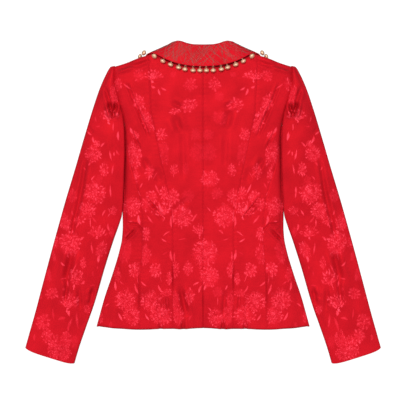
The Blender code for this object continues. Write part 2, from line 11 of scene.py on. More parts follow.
import bpy
import numpy as np
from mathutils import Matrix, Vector


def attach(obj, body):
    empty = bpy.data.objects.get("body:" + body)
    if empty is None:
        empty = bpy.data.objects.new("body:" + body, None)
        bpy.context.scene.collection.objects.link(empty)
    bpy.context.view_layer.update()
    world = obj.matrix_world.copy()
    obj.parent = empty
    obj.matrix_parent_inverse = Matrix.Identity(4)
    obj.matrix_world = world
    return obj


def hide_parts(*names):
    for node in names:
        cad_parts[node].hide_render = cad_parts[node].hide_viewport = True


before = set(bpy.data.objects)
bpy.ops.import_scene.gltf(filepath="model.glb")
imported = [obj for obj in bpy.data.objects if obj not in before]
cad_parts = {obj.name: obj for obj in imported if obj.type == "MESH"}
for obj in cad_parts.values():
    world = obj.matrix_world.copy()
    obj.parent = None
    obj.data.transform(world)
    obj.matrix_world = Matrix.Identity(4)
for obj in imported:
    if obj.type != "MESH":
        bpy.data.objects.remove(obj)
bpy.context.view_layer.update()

MM = 0.001
SIDES = (("left", -1), ("right", 1))
AXES = ("out", "up", "z")

CLOTH = 1.6  # the lined brocade's thickness
COLLAR_CLOTH = 1.8
SEAM_GAP = -0.02  # the pieces meet at their seams, so that no light comes through
UNDER_SEAM_GAP = 1.6  # the fronts end this far inside the seams and folds that hide their edges
SHOULDER_FOLD = 8.0  # how far the back rounds out where it is folded at the shoulder
NECK_EDGE = 5.0  # and how far it runs on at the neckline, where there is no fold
NECK_CORNER = (42.0, 84.0)  # where the neckline turns into the shoulder
FOLD_RUN = 3.0  # how far a folded edge runs back under the garment
FRONT_HEM_UP = 1.5  # the fronts are this much shorter than the back
FRONT_SHIFT = 0.5  # how far right of the middle the fronts meet
FRONT_LIFT = 12.8  # how high the fronts lie on the collar's front half
FRONT_LIFT_FALL = (129.0, 189.0)  # from the neck's centre, where they come down to the surface
NECK_CENTRE_UP = 300.0
BALL_RADIUS = 5.6
BALL_FLATNESS = 0.7  # a ball's height as a share of its width
BALL_STEP = 8.6  # from the collar's edge to a ball's centre, on the front
BALL_SIDES = 28
SHANK_GAP = 0.7  # from the middle of the collar's edge to the end of a shank
CAP_RISE = 0.5  # a ball's cap stands this much over it
CAP_RADII = (0.9, 1.2, 1.6)  # its top, its shoulder and its foot
CAP_BEVEL = 0.2
CAP_TURN = 17  # the cap's foot meets the ball this far from its pole, in degrees
WIRE_RADIUS = 0.4
LOOP_SHARE = 0.55  # a loop's width as a share of its height
LOOP_SUNK = 0.35  # how far the loop is set into the cap
SLEEVE_CLEARANCE = 1.5  # from the body to the sleeve's under layer
LIFT_MARGIN = 6.0  # how far past the body's edge the sleeve is still held up
LIFT_RUN = 16.0  # and the length over which it then comes down
SEAM_DIP = 0.8  # a sewn seam pulls the cloth down by this much
SEAM_REACH = 1.5  # within this distance
PUCKER = 0.22  # height of the small waves that stitching leaves along a seam
PUCKER_STEP = 9.0
PUCKER_REACH = 9.0
PUCKER_SHIFT = 4.0  # from the waves on one side of a seam to those on the other
TURN_IN = 2.6  # how deep a seam's allowance is turned in
TURN_STEPS = (0.12, 0.5, 1.0)  # its columns, as shares of that depth
ALLOWANCE_STEPS = (0.1, 0.4, 1.0)  # those of an allowance that first runs outwards
ARMHOLE_ALLOWANCE = 4.0  # how far the body's allowance reaches under the sleeve
ARMHOLE_SOFT = 4.0  # half the length over which that starts
SIDE_TURN = 0.2  # the share of the depth that is turned in where the side ends on the front
SLEEVE_TURN = 0.1  # and at the sleeve's open armhole
EDGE_BULGE = 0.3  # how far a rounded edge bulges, as a share of the thickness
EDGE_RISE = ((0.55, 5.0), (0.45, 30.0))  # the back rises from its edge by these shares, over these lengths
CALM_EDGE = 6.0  # the width beside that edge where creases and waves fade out
CREASE_FADE = 0.35  # the share of a crease's length over which it starts and ends
RIDGE = 0.3  # the ridge beside a crease, as a share of its depth
RIDGE_ASIDE = 2.0  # its place, in widths of the crease
# How far a mesh's first or last columns or rows lie from its edge, as shares of its width or length.
EVEN = (0.0,)
SEAM_STEPS = (0.0, 0.004, 0.012, 0.022)
HEM_STEPS = (0.0, 0.0012, 0.0028, 0.005, 0.008)

HEM_ROLL = 5.5  # the length over which the cloth rolls down at the hem, and by how much
HEM_DROP = 8.0
NECK_HOLLOW = 5.5  # how deep the back sinks under the edge of the collar
HOLLOW_AT_CENTRE = 0.55  # the share of it at the centre back
HOLLOW_DEEPENS = (15.0, 50.0)  # where it grows to its full depth
HOLLOW_ENDS = (95.0, 110.0)  # and where it fades out
HOLLOW_INSIDE = 3.0  # from the collar's edge in to the hollow's middle
HOLLOW_REACH = 7.0
HOLLOW_ROWS = 7  # the rows of the collar whose edge lies on the back
PLAN_ROUNDS = 12  # for a panel's out and up, which depend on each other

# The meshes' rows and columns.
BACK_ROWS, CENTER_COLUMNS, SIDE_BACK_COLUMNS = 280, 54, 44
SHOULDER_ROWS = 9
SIDE_COLUMNS, SIDE_FOLD_COLUMNS = 44, 8
FRONT_ROWS, FRONT_COLUMNS = 150, 56
SLEEVE_ROW_COUNT, UNDER_COLUMNS, FOLD_COLUMNS, UPPER_COLUMNS = 290, 30, 9, 60

Line = namedtuple("Line", "at value")
Body = namedtuple("Body", "up edge fold visible edge_z crown")
Sleeve = namedtuple("Sleeve", "outer_out outer_up inner_out inner_up crown outer_z inner_z low folded")
Crease = namedtuple("Crease", "out up end_out end_up width depth side", defaults=[0])
Collar = namedtuple(
    "Collar", "neck_out neck_up neck_z roll_out roll_up roll_z edge_out edge_up edge_z turn lean"
)
Ball = namedtuple("Ball", "out up z", defaults=[0])
Motif = namedtuple("Motif", "kind out up wide tall tilt strength side", defaults=[0])
Ring = namedtuple("Ring", "count inner outer rounding")
Cut = namedtuple("Cut", "width length area")


def table(columns, *rows):
    """Rows with named columns."""
    return tuple(columns(*row) for row in rows)


def figure_rows(by_kind):
    """A table of woven figures, given as rows under their kind."""
    return tuple(Motif(kind, *row) for kind, rows in by_kind.items() for row in rows)


# Down the body: its outer edge, the radius of its side fold, where the sleeve starts to hide it,
# the height there and the height of the middle.
BODY_ROWS = table(
    Body,
    (-262, 221.0, 4.0, 217.0, 8.0, 13.0),
    (-200, 203.8, 5.0, 198.8, 10.0, 16.0),
    (-150, 186.8, 6.0, 180.8, 12.0, 18.5),
    (-100, 171.9, 6.0, 165.9, 12.0, 20.0),
    (-75, 166.8, 6.0, 160.8, 12.0, 20.5),
    (-50, 165.2, 6.0, 159.2, 12.0, 21.0),
    (-25, 165.6, 5.5, 159.4, 11.0, 21.5),
    (0, 168.0, 4.5, 160.6, 10.8, 22.5),
    (30, 174.0, 3.5, 160.6, 8.0, 23.5),
    (70, 184.5, 3.0, 160.4, 6.8, 24.5),
    (110, 194.0, 2.8, 159.8, 7.0, 25.5),
    (145, 198.5, 2.8, 160.6, 9.0, 26.0),
    (180, 198.5, 2.8, 164.0, 17.0, 26.0),
    (200, 198.5, 2.8, 169.5, 19.0, 26.3),
    (223, 198.5, 2.8, 175.5, 19.6, 26.6),
    (247, 198.5, 2.8, 180.0, 19.8, 26.8),
    (320, 198.5, 2.8, 180.3, 19.4, 26.2),
)
PRINCESS_SEAM = table(
    Line, (-262, 62.0), (-48, 62.0), (-9, 64.6), (24, 72.8), (73, 83.0), (102, 89.0), (132, 94.7),
    (155, 100.5), (181, 106.0), (216, 107.4), (302, 111.5),
)
SIDE_TOP = 157.0  # where the side back seam starts at the armhole
SIDE_SEAM = table(
    Line, (-262, 130.8), (-161, 129.2), (-124, 126.0), (-79, 123.4), (-38, 124.0), (-1, 127.0),
    (24, 133.3), (48, 140.4), (75, 148.6), (116, 156.8), (SIDE_TOP, 161.6),
)
ARMHOLE = table(
    Line, (SIDE_TOP, 161.6), (180, 164.0), (200, 169.5), (223, 175.5), (247, 180.0), (280, 180.3),
)
# The neckline and the shoulder, and the hem.
TOP_LINE = table(
    Line, (0, 297), (15, 298), (30, 301), (45, 306), (56, 312), (64, 317), (85, 310), (111, 300.5),
    (126, 296), (140, 291.2), (153, 286.4), (165, 282.5), (181, 277.5),
)
HEM_LINE = table(
    Line, (0, -259.5), (20, -260.5), (46, -262.0), (62, -261.3), (87, -261.3), (112, -262.6),
    (130, -263.0), (167, -261.3), (186, -259.9), (204, -257.7), (221, -255.2),
)
SIDE_HEM = (131.0, 219.0)  # where the side's hem starts and ends
HEM_SHARE = 0.2  # the part of the side's length that follows the curve of the hem
FRONT_NECK_LINE = table(
    Line, (0, 234), (20, 237), (40, 247.5), (55, 263.5), (62, 279), (66, 296), (70, 306),
)
FRONT_UNDERARM = table(
    Line, (135, 195.0), (141, 192.0), (148, 180.0), (154, 166.0), (158, 161.3), (180, 163.6),
)
UNDERARM_UP = 140.0  # the corner where the side's top meets its fold
UNDERARM_OUT = 198.5
UNDERARM_SLOPE = 0.46  # how steeply the top rises inwards from there
SIDE_TOP_UP = 150.0  # the sleeve lies on the body up to here
# Drag lines from the armhole, hollows beside the shoulder blades, puckers at the nipped waist
# and flutes of the hem.
BODY_CREASES = table(
    Crease,
    (157, 246, 134, 186, 2.6, 3.4),
    (141, 206, 108, 128, 2.8, 5.0),
    (150, 150, 126, 104, 2.2, 3.4),
    (124, 92, 108, 60, 5.0, 3.6),
    (98, 72, 86, 36, 7.0, 2.2),
    (66, 204, 42, 192, 4.0, 2.6),
    (60, 178, 45, 138, 6.5, 5.0, -1),
    (56, 190, 46, 146, 6.5, 4.6, 1),
    (42, 156, 39, 40, 5.0, 2.0, -1),
    (47, 150, 44, 60, 5.0, 1.6, 1),
    (118, 12, 80, -36, 2.4, 6.5),
    (158, -44, 132, -46, 2.0, 4.0),
    (138, -43, 120, -62, 1.8, 3.4),
    (164, -82, 135, -54, 2.8, 6.0),
    (176, -86, 150, -70, 2.4, 5.0),
    (160, -54, 146, -61, 1.8, 2.5),
    (41, -236, 41, -296, 3.4, 6.5),
    (48, -168, 33, -238, 5.2, 7.6, -1),
    (46, -176, 41, -240, 4.0, 3.2, 1),
    (87, -238, 87, -296, 3.4, 5.5),
    (92, -190, 88, -246, 4.0, 1.8),
    (75, -188, 70, -230, 2.2, 2.8),
    (14, -190, 12, -330, 8.0, 1.6),
    (158, -170, 174, -330, 10.0, 1.8),
    (186, -190, 205, -300, 7.0, 1.4, -1),
    (190, -150, 204, -280, 7.0, 1.4, 1),
    (24, 12, 70, -30, 6.0, 1.0, -1),
    (30, 20, 76, -22, 6.0, 1.0, 1),
    (104, 290, 150, 272, 4.0, 4.2),
    (132, 283, 180, 269, 3.2, 5.0),
    (138, 286, 186, 268, 3.6, 5.5),
    (0, -150, 0, -330, 1.3, 1.5),
    (62, -122, 62, -186, 1.5, 2.0),
    (130.5, -120, 131, -240, 1.5, 1.8),
)
# Down the sleeve: the ends of its section, the heights of its middle, edges and underside, and
# how far its inner edge is folded, from 0 at the open armhole to 1.
SLEEVE_ROWS = table(
    Sleeve,
    (190.2, 277.0, 181.0, 278.6, 17.6, 16.0, 18.0, 0.0, 0),
    (194.2, 271.4, 180.9, 272.0, 20.0, 17.5, 19.8, 0.0, 0),
    (199.0, 262.3, 180.9, 260.0, 21.5, 17.5, 20.2, 0.0, 0),
    (205.6, 248.5, 180.8, 246.0, 22.5, 17.0, 20.2, 0.0, 0),
    (214.0, 228.0, 177.4, 228.0, 23.0, 16.5, 19.8, 0.0, 0),
    (222.4, 203.4, 171.2, 203.4, 23.5, 16.0, 19.6, 0.0, 0),
    (230.4, 178.4, 164.2, 178.4, 24.0, 15.5, 19.4, 3.0, 0.3),
    (239.4, 148.5, 161.5, 146.0, 24.0, 15.0, 20.5, 13.6, 1),
    (250.8, 110.0, 160.6, 100.0, 24.0, 14.5, 20.5, 12.6, 1),
    (261.8, 72.0, 161.8, 54.0, 24.0, 14.0, 20.5, 12.6, 1),
    (272.8, 35.5, 163.4, 12.0, 23.5, 14.0, 20.0, 12.6, 1),
    (282.8, 2.0, 165.7, -24.0, 22.5, 14.0, 17.5, 9.6, 1),
    (288.8, -19.0, 170.8, -42.0, 21.5, 13.5, 14.5, 3.0, 1),
    (298.3, -53.0, 184.2, -80.0, 20.5, 13.0, 13.0, 0.0, 1),
    (312.2, -103.5, 201.1, -133.0, 19.5, 12.0, 12.0, 0.0, 1),
    (331.9, -177.3, 223.0, -208.0, 17.5, 11.0, 11.0, 0.0, 1),
    (345.5, -228.5, 241.3, -260.0, 15.5, 10.0, 10.0, 0.0, 1),
    (357.3, -270.0, 255.6, -302.0, 13.5, 9.0, 9.0, 0.0, 1),
    (365.6, -299.5, 264.2, -331.5, 11.5, 8.0, 8.0, 0.0, 1),
)
SLEEVE_FOLD = 6.5  # how far the outer fold rounds in
INNER_FOLD = 4.5
FOLD_LIMITS = (0.5, 0.3)  # the most that both may be, as shares of the width
SLEEVE_CLOSER = 0.15  # how much closer the rows lie at the shoulder
SEAM_RISE = 0.72  # from this share of its width the under layer rises to the seam
CROWN_POWER = 2.4  # the roundness of the upper layer
ARMHOLE_ROLL = 2.2  # the width over which the sleeve rolls down into the armhole, and how deep
ARMHOLE_DROP = 2.7
ROLL_SHARE = 0.7  # the share of that width that is rounded
CAP_ROUND = 9.0  # the length over which the sleeve head rounds down
CAP_BEYOND = 3.0  # its end lies this far past the first row
CAP_SHARE = 0.05  # the part of the length over which the body starts to hold the sleeve up
CUFF_BULGE = 4.2  # how far the cuff's edge curves out
CUFF_POWER = 6
CUFF_SHARE = 0.1  # the part of the length where it does
CREASED_ABOVE = 9.0  # creases start this high on the sleeve
CREASED_RUN = 4.0  # and are full this much higher
SLACK_MARGIN = 15.0  # the waves of loose cloth fade out this near the edges
SLEEVE_TILT = 15.0  # of the straight part, in degrees
SLEEVE_START = 3  # the row where that part starts
# The dimple beside the armhole, the slack of the elbow and the creases of the forearm.
SLEEVE_CREASES = table(
    Crease,
    (193, 208, 183.5, 168, 3.7, 16.0),
    (176.5, 206, 185, 168, 3.7, 16.0),
    (202, 238, 188, 198, 4.0, 5.0),
    (238, 96, 250, 18, 4.0, 3.6),
    (244, 50, 262, -40, 4.4, 4.6),
    (258, -10, 272, -78, 4.2, 4.2),
    (266, -94, 284, -172, 6.5, 9.0),
    (276, -150, 284, -214, 4.0, 4.2),
    (254, -170, 252, -224, 4.0, 4.0),
    (224, -172, 232, -212, 3.6, 6.0),
    (236, 156, 224, 138, 3.0, 1.2),
    (228, 150, 206, 96, 10.0, 1.4),
    (220, -182, 242, -198, 4.0, 2.2),
    (214, -190, 240, -214, 5.0, 1.6),
    (300, -150, 318, -240, 9.0, 1.4),
    (222, -70, 236, -140, 10.0, 1.4),
    (236, -228, 246, -262, 5.0, 1.4),
    (250, 40, 262, -30, 9.0, 1.0, -1),
    (240, 60, 258, -20, 9.0, 1.0, 1),
    (210, 60, 214, 0, 8.0, 0.8, -1),
    (204, 40, 212, -40, 8.0, 0.8, 1),
)
# The collar from the centre back, over the shoulder and round to the centre front.
COLLAR_ROWS = table(
    Collar,
    (0.0, 297.8, 25.4, 0.0, 320.0, 28.8, 0.0, 276.1, 34.6, 2.6, 0),
    (15.0, 298.8, 25.4, 17.4, 320.4, 28.8, 22.0, 277.2, 34.6, 2.6, 0),
    (29.0, 301.9, 25.4, 33.0, 323.1, 28.6, 42.0, 279.9, 34.5, 2.6, 0),
    (40.0, 305.8, 25.3, 43.0, 326.7, 28.2, 60.0, 284.6, 34.2, 2.6, 0),
    (48.0, 309.6, 25.1, 50.0, 327.9, 27.4, 76.0, 291.0, 33.0, 2.4, 12),
    (55.0, 314.5, 24.0, 56.0, 326.6, 25.0, 90.0, 298.2, 30.4, 2.0, 35),
    (60.0, 317.6, 21.5, 60.0, 325.2, 21.0, 102.0, 303.4, 25.0, 1.8, 65),
    (63.0, 317.5, 17.5, 62.5, 323.4, 16.0, 110.5, 303.9, 17.0, 1.5, 100),
    (65.5, 312.5, 13.2, 63.0, 319.0, 11.4, 118.0, 299.0, 8.2, 1.0, 150),
    (68.0, 304.6, 11.6, 64.2, 306.0, 10.6, 121.0, 288.5, 5.9, 1.0, 180),
    (69.2, 290.0, 11.6, 65.5, 291.0, 10.6, 117.0, 267.0, 5.8, 1.0, 180),
    (65.3, 272.8, 11.6, 62.0, 275.0, 10.6, 103.5, 243.0, 5.8, 1.0, 180),
    (54.5, 254.8, 11.6, 52.0, 258.0, 10.6, 82.0, 219.5, 5.8, 1.0, 180),
    (37.6, 239.8, 11.6, 36.0, 243.5, 10.6, 54.0, 202.5, 5.8, 1.0, 180),
    (20.6, 232.5, 11.6, 20.0, 236.5, 10.6, 26.0, 195.0, 5.8, 1.0, 180),
    (4.3, 230.0, 11.6, 4.0, 234.0, 10.6, 8.0, 201.0, 5.8, 1.0, 180),
)
STAND_BULGE = 24.0  # how far the stand bulges beyond the roll at the centre back
BULGE_OUT, BULGE_DOWN = 0.75, 1.9  # how far it goes outwards and down, as shares of that
BULGE_FADE = (0.05, 0.18)  # where it fades out, from 0 at the centre back to 1 at the front
STAND_COLUMNS, ROLL_COLUMNS, FALL_COLUMNS = 8, 8, 26
COLLAR_STATIONS = 150
BALL_STATIONS = 17  # the balls follow the edge as a line through so many points
EDGE_SAMPLES = 1500
BACK_BALLS = table(
    Ball, (6.6, 267.7), (20.5, 267.7), (37.0, 270.0), (50.0, 273.8), (66.4, 279.6), (82.0, 286.6),
    (99.6, 296.6),
)
SHOULDER_BALLS = table(Ball, (121.4, 305.4, 13.6), (129.8, 298.6, 5.6))
FRONT_BALL_COUNT = 9
FRONT_BALL_SPACING = 16.0

STITCH_SEED = 8
WEB_ON_ROLL = 5  # the columns of the roll that the web covers too
WEB_STEP = 5.5  # between the feet of the long threads of the web
FOOT_SHIFT = 9.0  # how far a foot may lie from its even place
WEB_SLANT = (8.0, 60.0)  # how far a long thread moves along the collar from one edge to the other
THREAD_LOW, THREAD_HIGH = (-0.3, 0.22), (0.75, 1.3)  # its ends across the fall, before it is cut short
SHORT_THREADS = 300
SHORT_HALF = (3.0, 9.0)  # half the length of a short thread
SHORT_TURN = (50.0, 88.0)  # its angle to the collar's edge, in degrees
SPARSE = (0.12, 0.3)  # from the centre back, as shares of the length, where every second one is left out
THREAD_RADIUS = 0.17
THREAD_SIDES = 5
THREAD_PIECE = 2.5  # the length of its straight pieces
THREAD_MARGIN = 0.5  # from its ends to the edges of the fall
END_MARGIN = 2.0  # and to the ends of the collar
THREAD_LIFT, THREAD_SUNK = 0.25, 0.4  # a thread lies on the cloth, and its ends go into it

# Kinds of woven figure. A leaf may cross a flower's place, so it is drawn apart from the others.
MUM, FAN, BLOSSOM, LEAF = 1, 2, 3, 4
FIGURE_REACH = 1.4  # how far from its middle a figure is drawn, as a share of its half size
STRENGTH_SHARE = 0.9  # a figure's strength is stored as this share, which is less than 1
LEAF_TONE = 0.88  # leaves are woven a little darker than flowers
MUM_RINGS = table(Ring, (17, 0.3, 1.1, 1.0), (12, 0.1, 0.76, 0.9), (7, 0.0, 0.42, 0.6))
FAN_RINGS = table(Ring, (19, 0.2, 1.6, 1.4), (14, 0.0, 1.0, 1.1))
BLOSSOM_RINGS = table(Ring, (10, 0.3, 1.12, 1.2), (6, 0.0, 0.6, 0.9))
RING_TURN = 7  # turns the rings of one flower against each other
PETAL_NUMBERS = 61.0  # sets the petals of one flower apart from another's
PETAL_LENGTHS = (0.76, 1.12)  # the shortest and longest, as shares of their ring
PETAL_SHADES = (0.65, 1.05)
# From the first place to the second, a tone changes from the third value to the fourth.
PETAL_STREAK = (0.04, 0.3, 1.0, 0.62)  # from a petal's middle to its side
PETAL_GAP = (0.36, 0.49, 1.0, 0.3)  # between two petals
FLOWER_FILL = (0.72, 1.04, 0.45, 0.0)  # from a flower's middle to its rim
CURLED_LINE = (0.006, 0.05, 0.15, 1.0)  # across a dark line of the petals' shading
FAN_FOOT = 0.45  # how far below its middle the petals of a half-open flower start
FAN_OPEN = 0.2  # how far they open to each side, in turns
STEM_HALF, STEM_TOP, STEM_FOOT = 0.09, -0.4, -0.85
KIND_MATCH = 0.1
WOBBLE = 0.85  # how uneven the outlines are, as a share of a figure's half size
# The figures of each piece: where the middle lies, the size, how far the long axis tilts
# outwards, the strength, and the side where there is only one. Seams cut through them.
CENTER_MOTIFS = figure_rows({
    MUM: (
        (82, 101, 26, 48, 10, 0.6), (10, 102, 34, 38, 0, 0.45), (14, 47, 38, 33, 0, 0.9, 1),
        (-14, 47, 38, 33, 0, 0.9, -1), (44, -28, 42, 47, 5, 0.95), (4, -105, 51, 54, 0, 1.0, 1),
        (-4, -105, 51, 54, 0, 1.0, -1), (13, -154, 39, 42, 0, 1.0, 1), (-13, -154, 39, 42, 0, 1.0, -1),
        (56, -203, 15, 42, 0, 0.7), (51, -234, 20, 38, 0, 0.9, -1), (26, -236, 28, 38, 0, 0.95, 1),
        (50, -233, 21, 40, 0, 0.85, 1),
    ),
    FAN: (
        (104, 255, 34, 30, 0, 0.95), (60, 62, 15, 27, 0, 0.8, -1), (7, -61, 23, 30, 0, 0.9, -1),
    ),
    BLOSSOM: (
        (26, 239, 25, 25, 0, 0.7, -1), (24, 240, 25, 26, 0, 0.85, 1), (61, 260, 13, 12, 0, 0.5),
        (27, 197, 35, 28, 10, 0.9, -1), (67, 198, 32, 29, -10, 0.85, 1), (33, 215, 20, 20, 0, 0.5, 1),
        (57, 184, 24, 14, 0, 0.9, -1), (35, 171, 33, 29, 0, 0.5, 1), (85, 138, 23, 25, 10, 0.95),
        (15, 138, 24, 25, 0, 0.45, -1), (9, 138, 24, 22, 0, 0.45, 1), (36, 67, 14, 23, 0, 0.4, -1),
        (58, 65, 18, 26, 0, 0.9, 1), (62, 10, 25, 34, 0, 0.85), (30, 12, 26, 27, 0, 0.45, -1),
        (28, 17, 24, 24, 0, 0.6, 1), (57, -138, 16, 31, 0, 0.8), (31, -136, 20, 29, 0, 0.85, -1),
        (30, -185, 22, 20, 0, 0.6, 1), (28, -193, 20, 31, 0, 0.85, -1),
    ),
    LEAF: (
        (90, 224, 6, 17, 20, 0.95), (81, 230, 5, 16, 58, 0.8), (102, 234, 7, 12, 60, 0.9),
        (80, 46, 5, 18, 0, 0.7), (63, -30, 6, 34, 6, 0.9), (18, -32, 5, 25, -34, 0.7, -1),
        (12, -15, 4, 15, -40, 0.7, 1), (43, -76, 3, 19, -80, 0.6, -1), (37, -61, 5, 15, -50, 0.8, 1),
        (46, -77, 3, 15, 75, 0.7, 1), (15, -167, 5, 16, -60, 0.9, -1), (7, -178, 6, 20, -20, 0.9, -1),
        (4, -175, 5, 18, 19, 0.8, 1), (59, -112, 5, 24, 0, 0.7), (48, -175, 4, 15, 24, 0.8, 1),
        (30, -203, 2, 20, 0, 0.7, 1), (27, -237, 5, 14, -30, 0.5, -1), (14, -220, 4, 13, -37, 0.8, 1),
    ),
})
SIDE_BACK_MOTIFS = figure_rows({
    MUM: (
        (115, 166, 22, 52, 22, 0.9), (142, 97, 30, 56, 5, 0.95), (118, -107, 21, 41, 0, 0.8),
        (107, -203, 40, 43, 0, 0.95), (86, -232, 42, 40, 0, 0.95),
    ),
    FAN: (
        (104, 255, 34, 30, 0, 0.95), (84, -20, 40, 44, 12, 0.95),
    ),
    BLOSSOM: (
        (131, 258, 20, 24, 0, 0.7), (174, 240, 15, 26, 0, 0.85), (132, 204, 23, 36, 20, 0.85),
        (142, 216, 12, 16, 0, 0.4), (138, 136, 13, 18, 20, 0.85), (110, 62, 19, 31, 0, 0.85),
        (140, 50, 18, 33, -10, 0.85), (117, -5, 20, 25, 0, 0.8), (104, 9, 24, 30, 25, 0.9),
        (79, 18, 19, 29, 0, 0.95), (66, 10, 22, 32, 0, 0.8), (117, -66, 18, 29, 0, 0.95),
        (97, -139, 24, 31, 0, 0.95), (69, -157, 12, 27, 0, 0.9), (75, -186, 22, 18, 0, 0.75),
    ),
    LEAF: (
        (155, 235, 4, 24, 55, 0.8), (102, 234, 7, 12, 60, 0.9), (147, 145, 7, 20, 30, 0.9),
        (152, 64, 5, 22, -20, 0.8), (133, 20, 4, 20, 30, 0.8), (127, 33, 4, 16, -25, 0.7),
        (98, 54, 2, 22, -30, 0.6), (94, 26, 5, 25, 25, 0.85), (87, -13, 7, 24, 28, 1.0),
        (109, -36, 5, 24, 38, 0.75), (75, -64, 4, 19, -55, 0.9), (80, -79, 4, 15, 60, 0.9),
        (66, -40, 6, 30, 0, 0.8), (87, -157, 2, 18, 17, 0.8), (66, -110, 7, 26, 10, 0.8),
        (78, -105, 4, 14, -60, 0.35), (122, -168, 5, 18, 48, 0.9), (89, -178, 5, 19, 27, 0.85),
        (74, -204, 2, 20, 0, 0.6), (115, -237, 5, 18, 31, 0.85),
    ),
})
SIDE_MOTIFS = figure_rows({
    MUM: (
        (146, -9, 35, 40, 0, 0.95), (160, -101, 27, 50, 0, 0.6), (159, -201, 39, 46, 0, 0.95),
        (146, -231, 34, 42, 0, 0.95),
    ),
    BLOSSOM: (
        (140, -138, 24, 31, 0, 0.95), (176, -148, 13, 30, 10, 0.7), (210, -237, 11, 21, 0, 0.8),
        (190, -252, 8, 12, 0, 0.5),
    ),
    LEAF: (
        (132, -37, 8, 24, 10, 1.0), (148, -40, 4, 9, 90, 0.8), (157, -67, 5, 15, -50, 0.6),
        (134, -160, 2, 20, 8, 0.7), (180, -173, 6, 21, 8, 0.9), (167, -166, 4, 13, 55, 0.6),
        (137, -179, 6, 26, 20, 0.85), (197, -211, 4, 14, -50, 0.7), (170, -236, 6, 22, 27, 0.9),
    ),
})
SLEEVE_MOTIFS = figure_rows({
    MUM: (
        (182, 217, 17, 40, 10, 0.85), (224.7, 98.4, 31, 34, 0, 0.95), (220, 19.5, 42, 47, 5, 0.95),
        (237, -18.5, 33, 35, 0, 1), (283, -43, 23, 34, 15, 0.9), (273.5, -86, 40, 50, 12, 1),
        (208.3, -98, 21, 36, -20, 0.85), (302.6, -296, 30, 44, 0, 0.95), (280, -281.9, 25, 35, 0, 0.85),
        (284.1, -307.5, 25, 27, 0, 0.8),
    ),
    FAN: (
        (193, 174, 32, 32, 0, 0.95), (187.4, -20.5, 15, 25, -40, 0.8), (216.9, -64.6, 31, 30, 0, 0.85),
        (260.6, -160, 27, 46, -14, 0.9), (275.9, -208, 30, 43, -10, 0.95),
    ),
    BLOSSOM: (
        (217.5, 118.7, 14, 15, 0, 0.95), (201.7, 66.6, 18, 30, 0, 0.95), (212, 44, 15, 22, 0, 0.45),
        (267.7, 12.3, 20, 26, 0, 0.65), (254.4, -37.9, 21, 18, 0, 0.85),
        (186.8, -62.5, 10, 19, 0, 0.65), (245.2, -125, 12, 25, 0, 0.85),
        (316.9, -148.6, 12, 27, 12, 0.6), (306.7, -109.7, 8, 23, 15, 0.6),
        (309.8, -187.6, 23, 25, 0, 0.75), (238, -220.4, 13, 18, 10, 0.8),
        (327.6, -245, 26, 34, 0, 0.75), (320.4, -272.7, 23, 26, 0, 0.8), (262.6, -286, 15, 27, 0, 0.45),
    ),
    LEAF: (
        (183.5, 153, 3.5, 20, 0, 0.9), (174, 134, 7, 21, 6, 0.95), (220, 169, 4, 14, 12, 0.6),
        (214.6, 154, 4, 10, 90, 0.5), (233.3, 140.4, 5, 14, 50, 0.8), (225.3, 127, 6, 17, 15, 0.9),
        (205.4, 117.3, 5, 16, -45, 0.75), (231.9, 77.9, 5, 12, -40, 0.7), (242.5, 67.7, 4, 11, 35, 0.6),
        (189.2, 95.3, 5, 28, 12, 0.9), (182, 98, 4, 11, 0, 0.85), (175, 100.5, 5, 15, 35, 0.7),
        (184.7, 66.6, 4, 26, -10, 0.85), (225.3, 49.2, 4, 14, -40, 0.85),
        (189.4, 20.5, 4.5, 30, 3, 0.85), (267.5, -22.6, 4, 13, 15, 0.8),
        (203.2, -22, 4.5, 18, -28, 0.8), (258, -49.7, 3.5, 10, -25, 0.7),
        (230.6, -42.6, 3.5, 19, 0, 0.9), (222.2, -37.5, 5, 16, 40, 0.65),
        (248.3, -74.8, 6, 14, -45, 0.7), (194.3, -52, 6, 17, 10, 0.8), (227.8, -95.3, 4.5, 29, 8, 0.7),
        (214.4, -116.9, 7, 17, -10, 0.95), (216.5, -135, 5, 8, 0, 0.5), (287.6, -127.5, 5, 16, 45, 0.8),
        (264.7, -138.4, 3, 31, -25, 0.8), (286.2, -156.8, 4, 14, -80, 0.6),
        (277.1, -168, 4.5, 16, 8, 0.7), (285.6, -178.4, 6, 8, 0, 0.5), (275.3, -228, 8, 14, 0, 0.9),
        (257.9, -197.8, 5, 15, -20, 0.6), (307.3, -229.6, 5, 24, 6, 0.5),
        (289.7, -238.2, 8, 18, -75, 0.6), (346, -275.7, 6, 14, 0, 0.6), (273.9, -251, 7, 33, -18, 0.6),
        (258.5, -242.9, 6, 35, 5, 0.6), (226.7, -171, 3.5, 14, -80, 0.5),
        (225.7, -146.6, 3.5, 14, 0, 0.4),
    ),
})
HIDDEN_SHIFT = 43.0  # the cloth of the hidden sides was cut from another part of the repeat

# The camera looks straight down. Its frame is as wide as the photograph's, and the jacket lies
# slightly right of and below the middle of it.
FRAME_WIDTH = 817.5
FRAME_MIDDLE = (-6.36, 3.9)
CAMERA_DISTANCE = 2600.0
CLOTH_TOP = 20.0
SENSOR = 36.0
DOME_LOW, DOME_HIGH = 0.18, 0.92  # the studio's brightness near the floor and overhead
DOME_RISE = (0.05, 0.85)  # the upward part of the direction where it rises
SUN_LIGHT = 2.15
SUN_FROM = (-0.12, 0.26, 1.0)  # a little from the collar's side and from the left
SUN_SOFTNESS = 16.0
FLOOR_HALF = 3000.0
FLOOR_BELOW = 0.3
FLOOR_LIGHT = 1.0


def smoothstep(t):
    """A smooth rise from 0 to 1 as t goes from 0 to 1."""
    t = np.clip(t, 0, 1)
    return t * t * (3 - 2 * t)


def ramp(at, start, end):
    """0 before the start and 1 after the end, with a smooth rise between them."""
    return smoothstep((at - start) / (end - start))


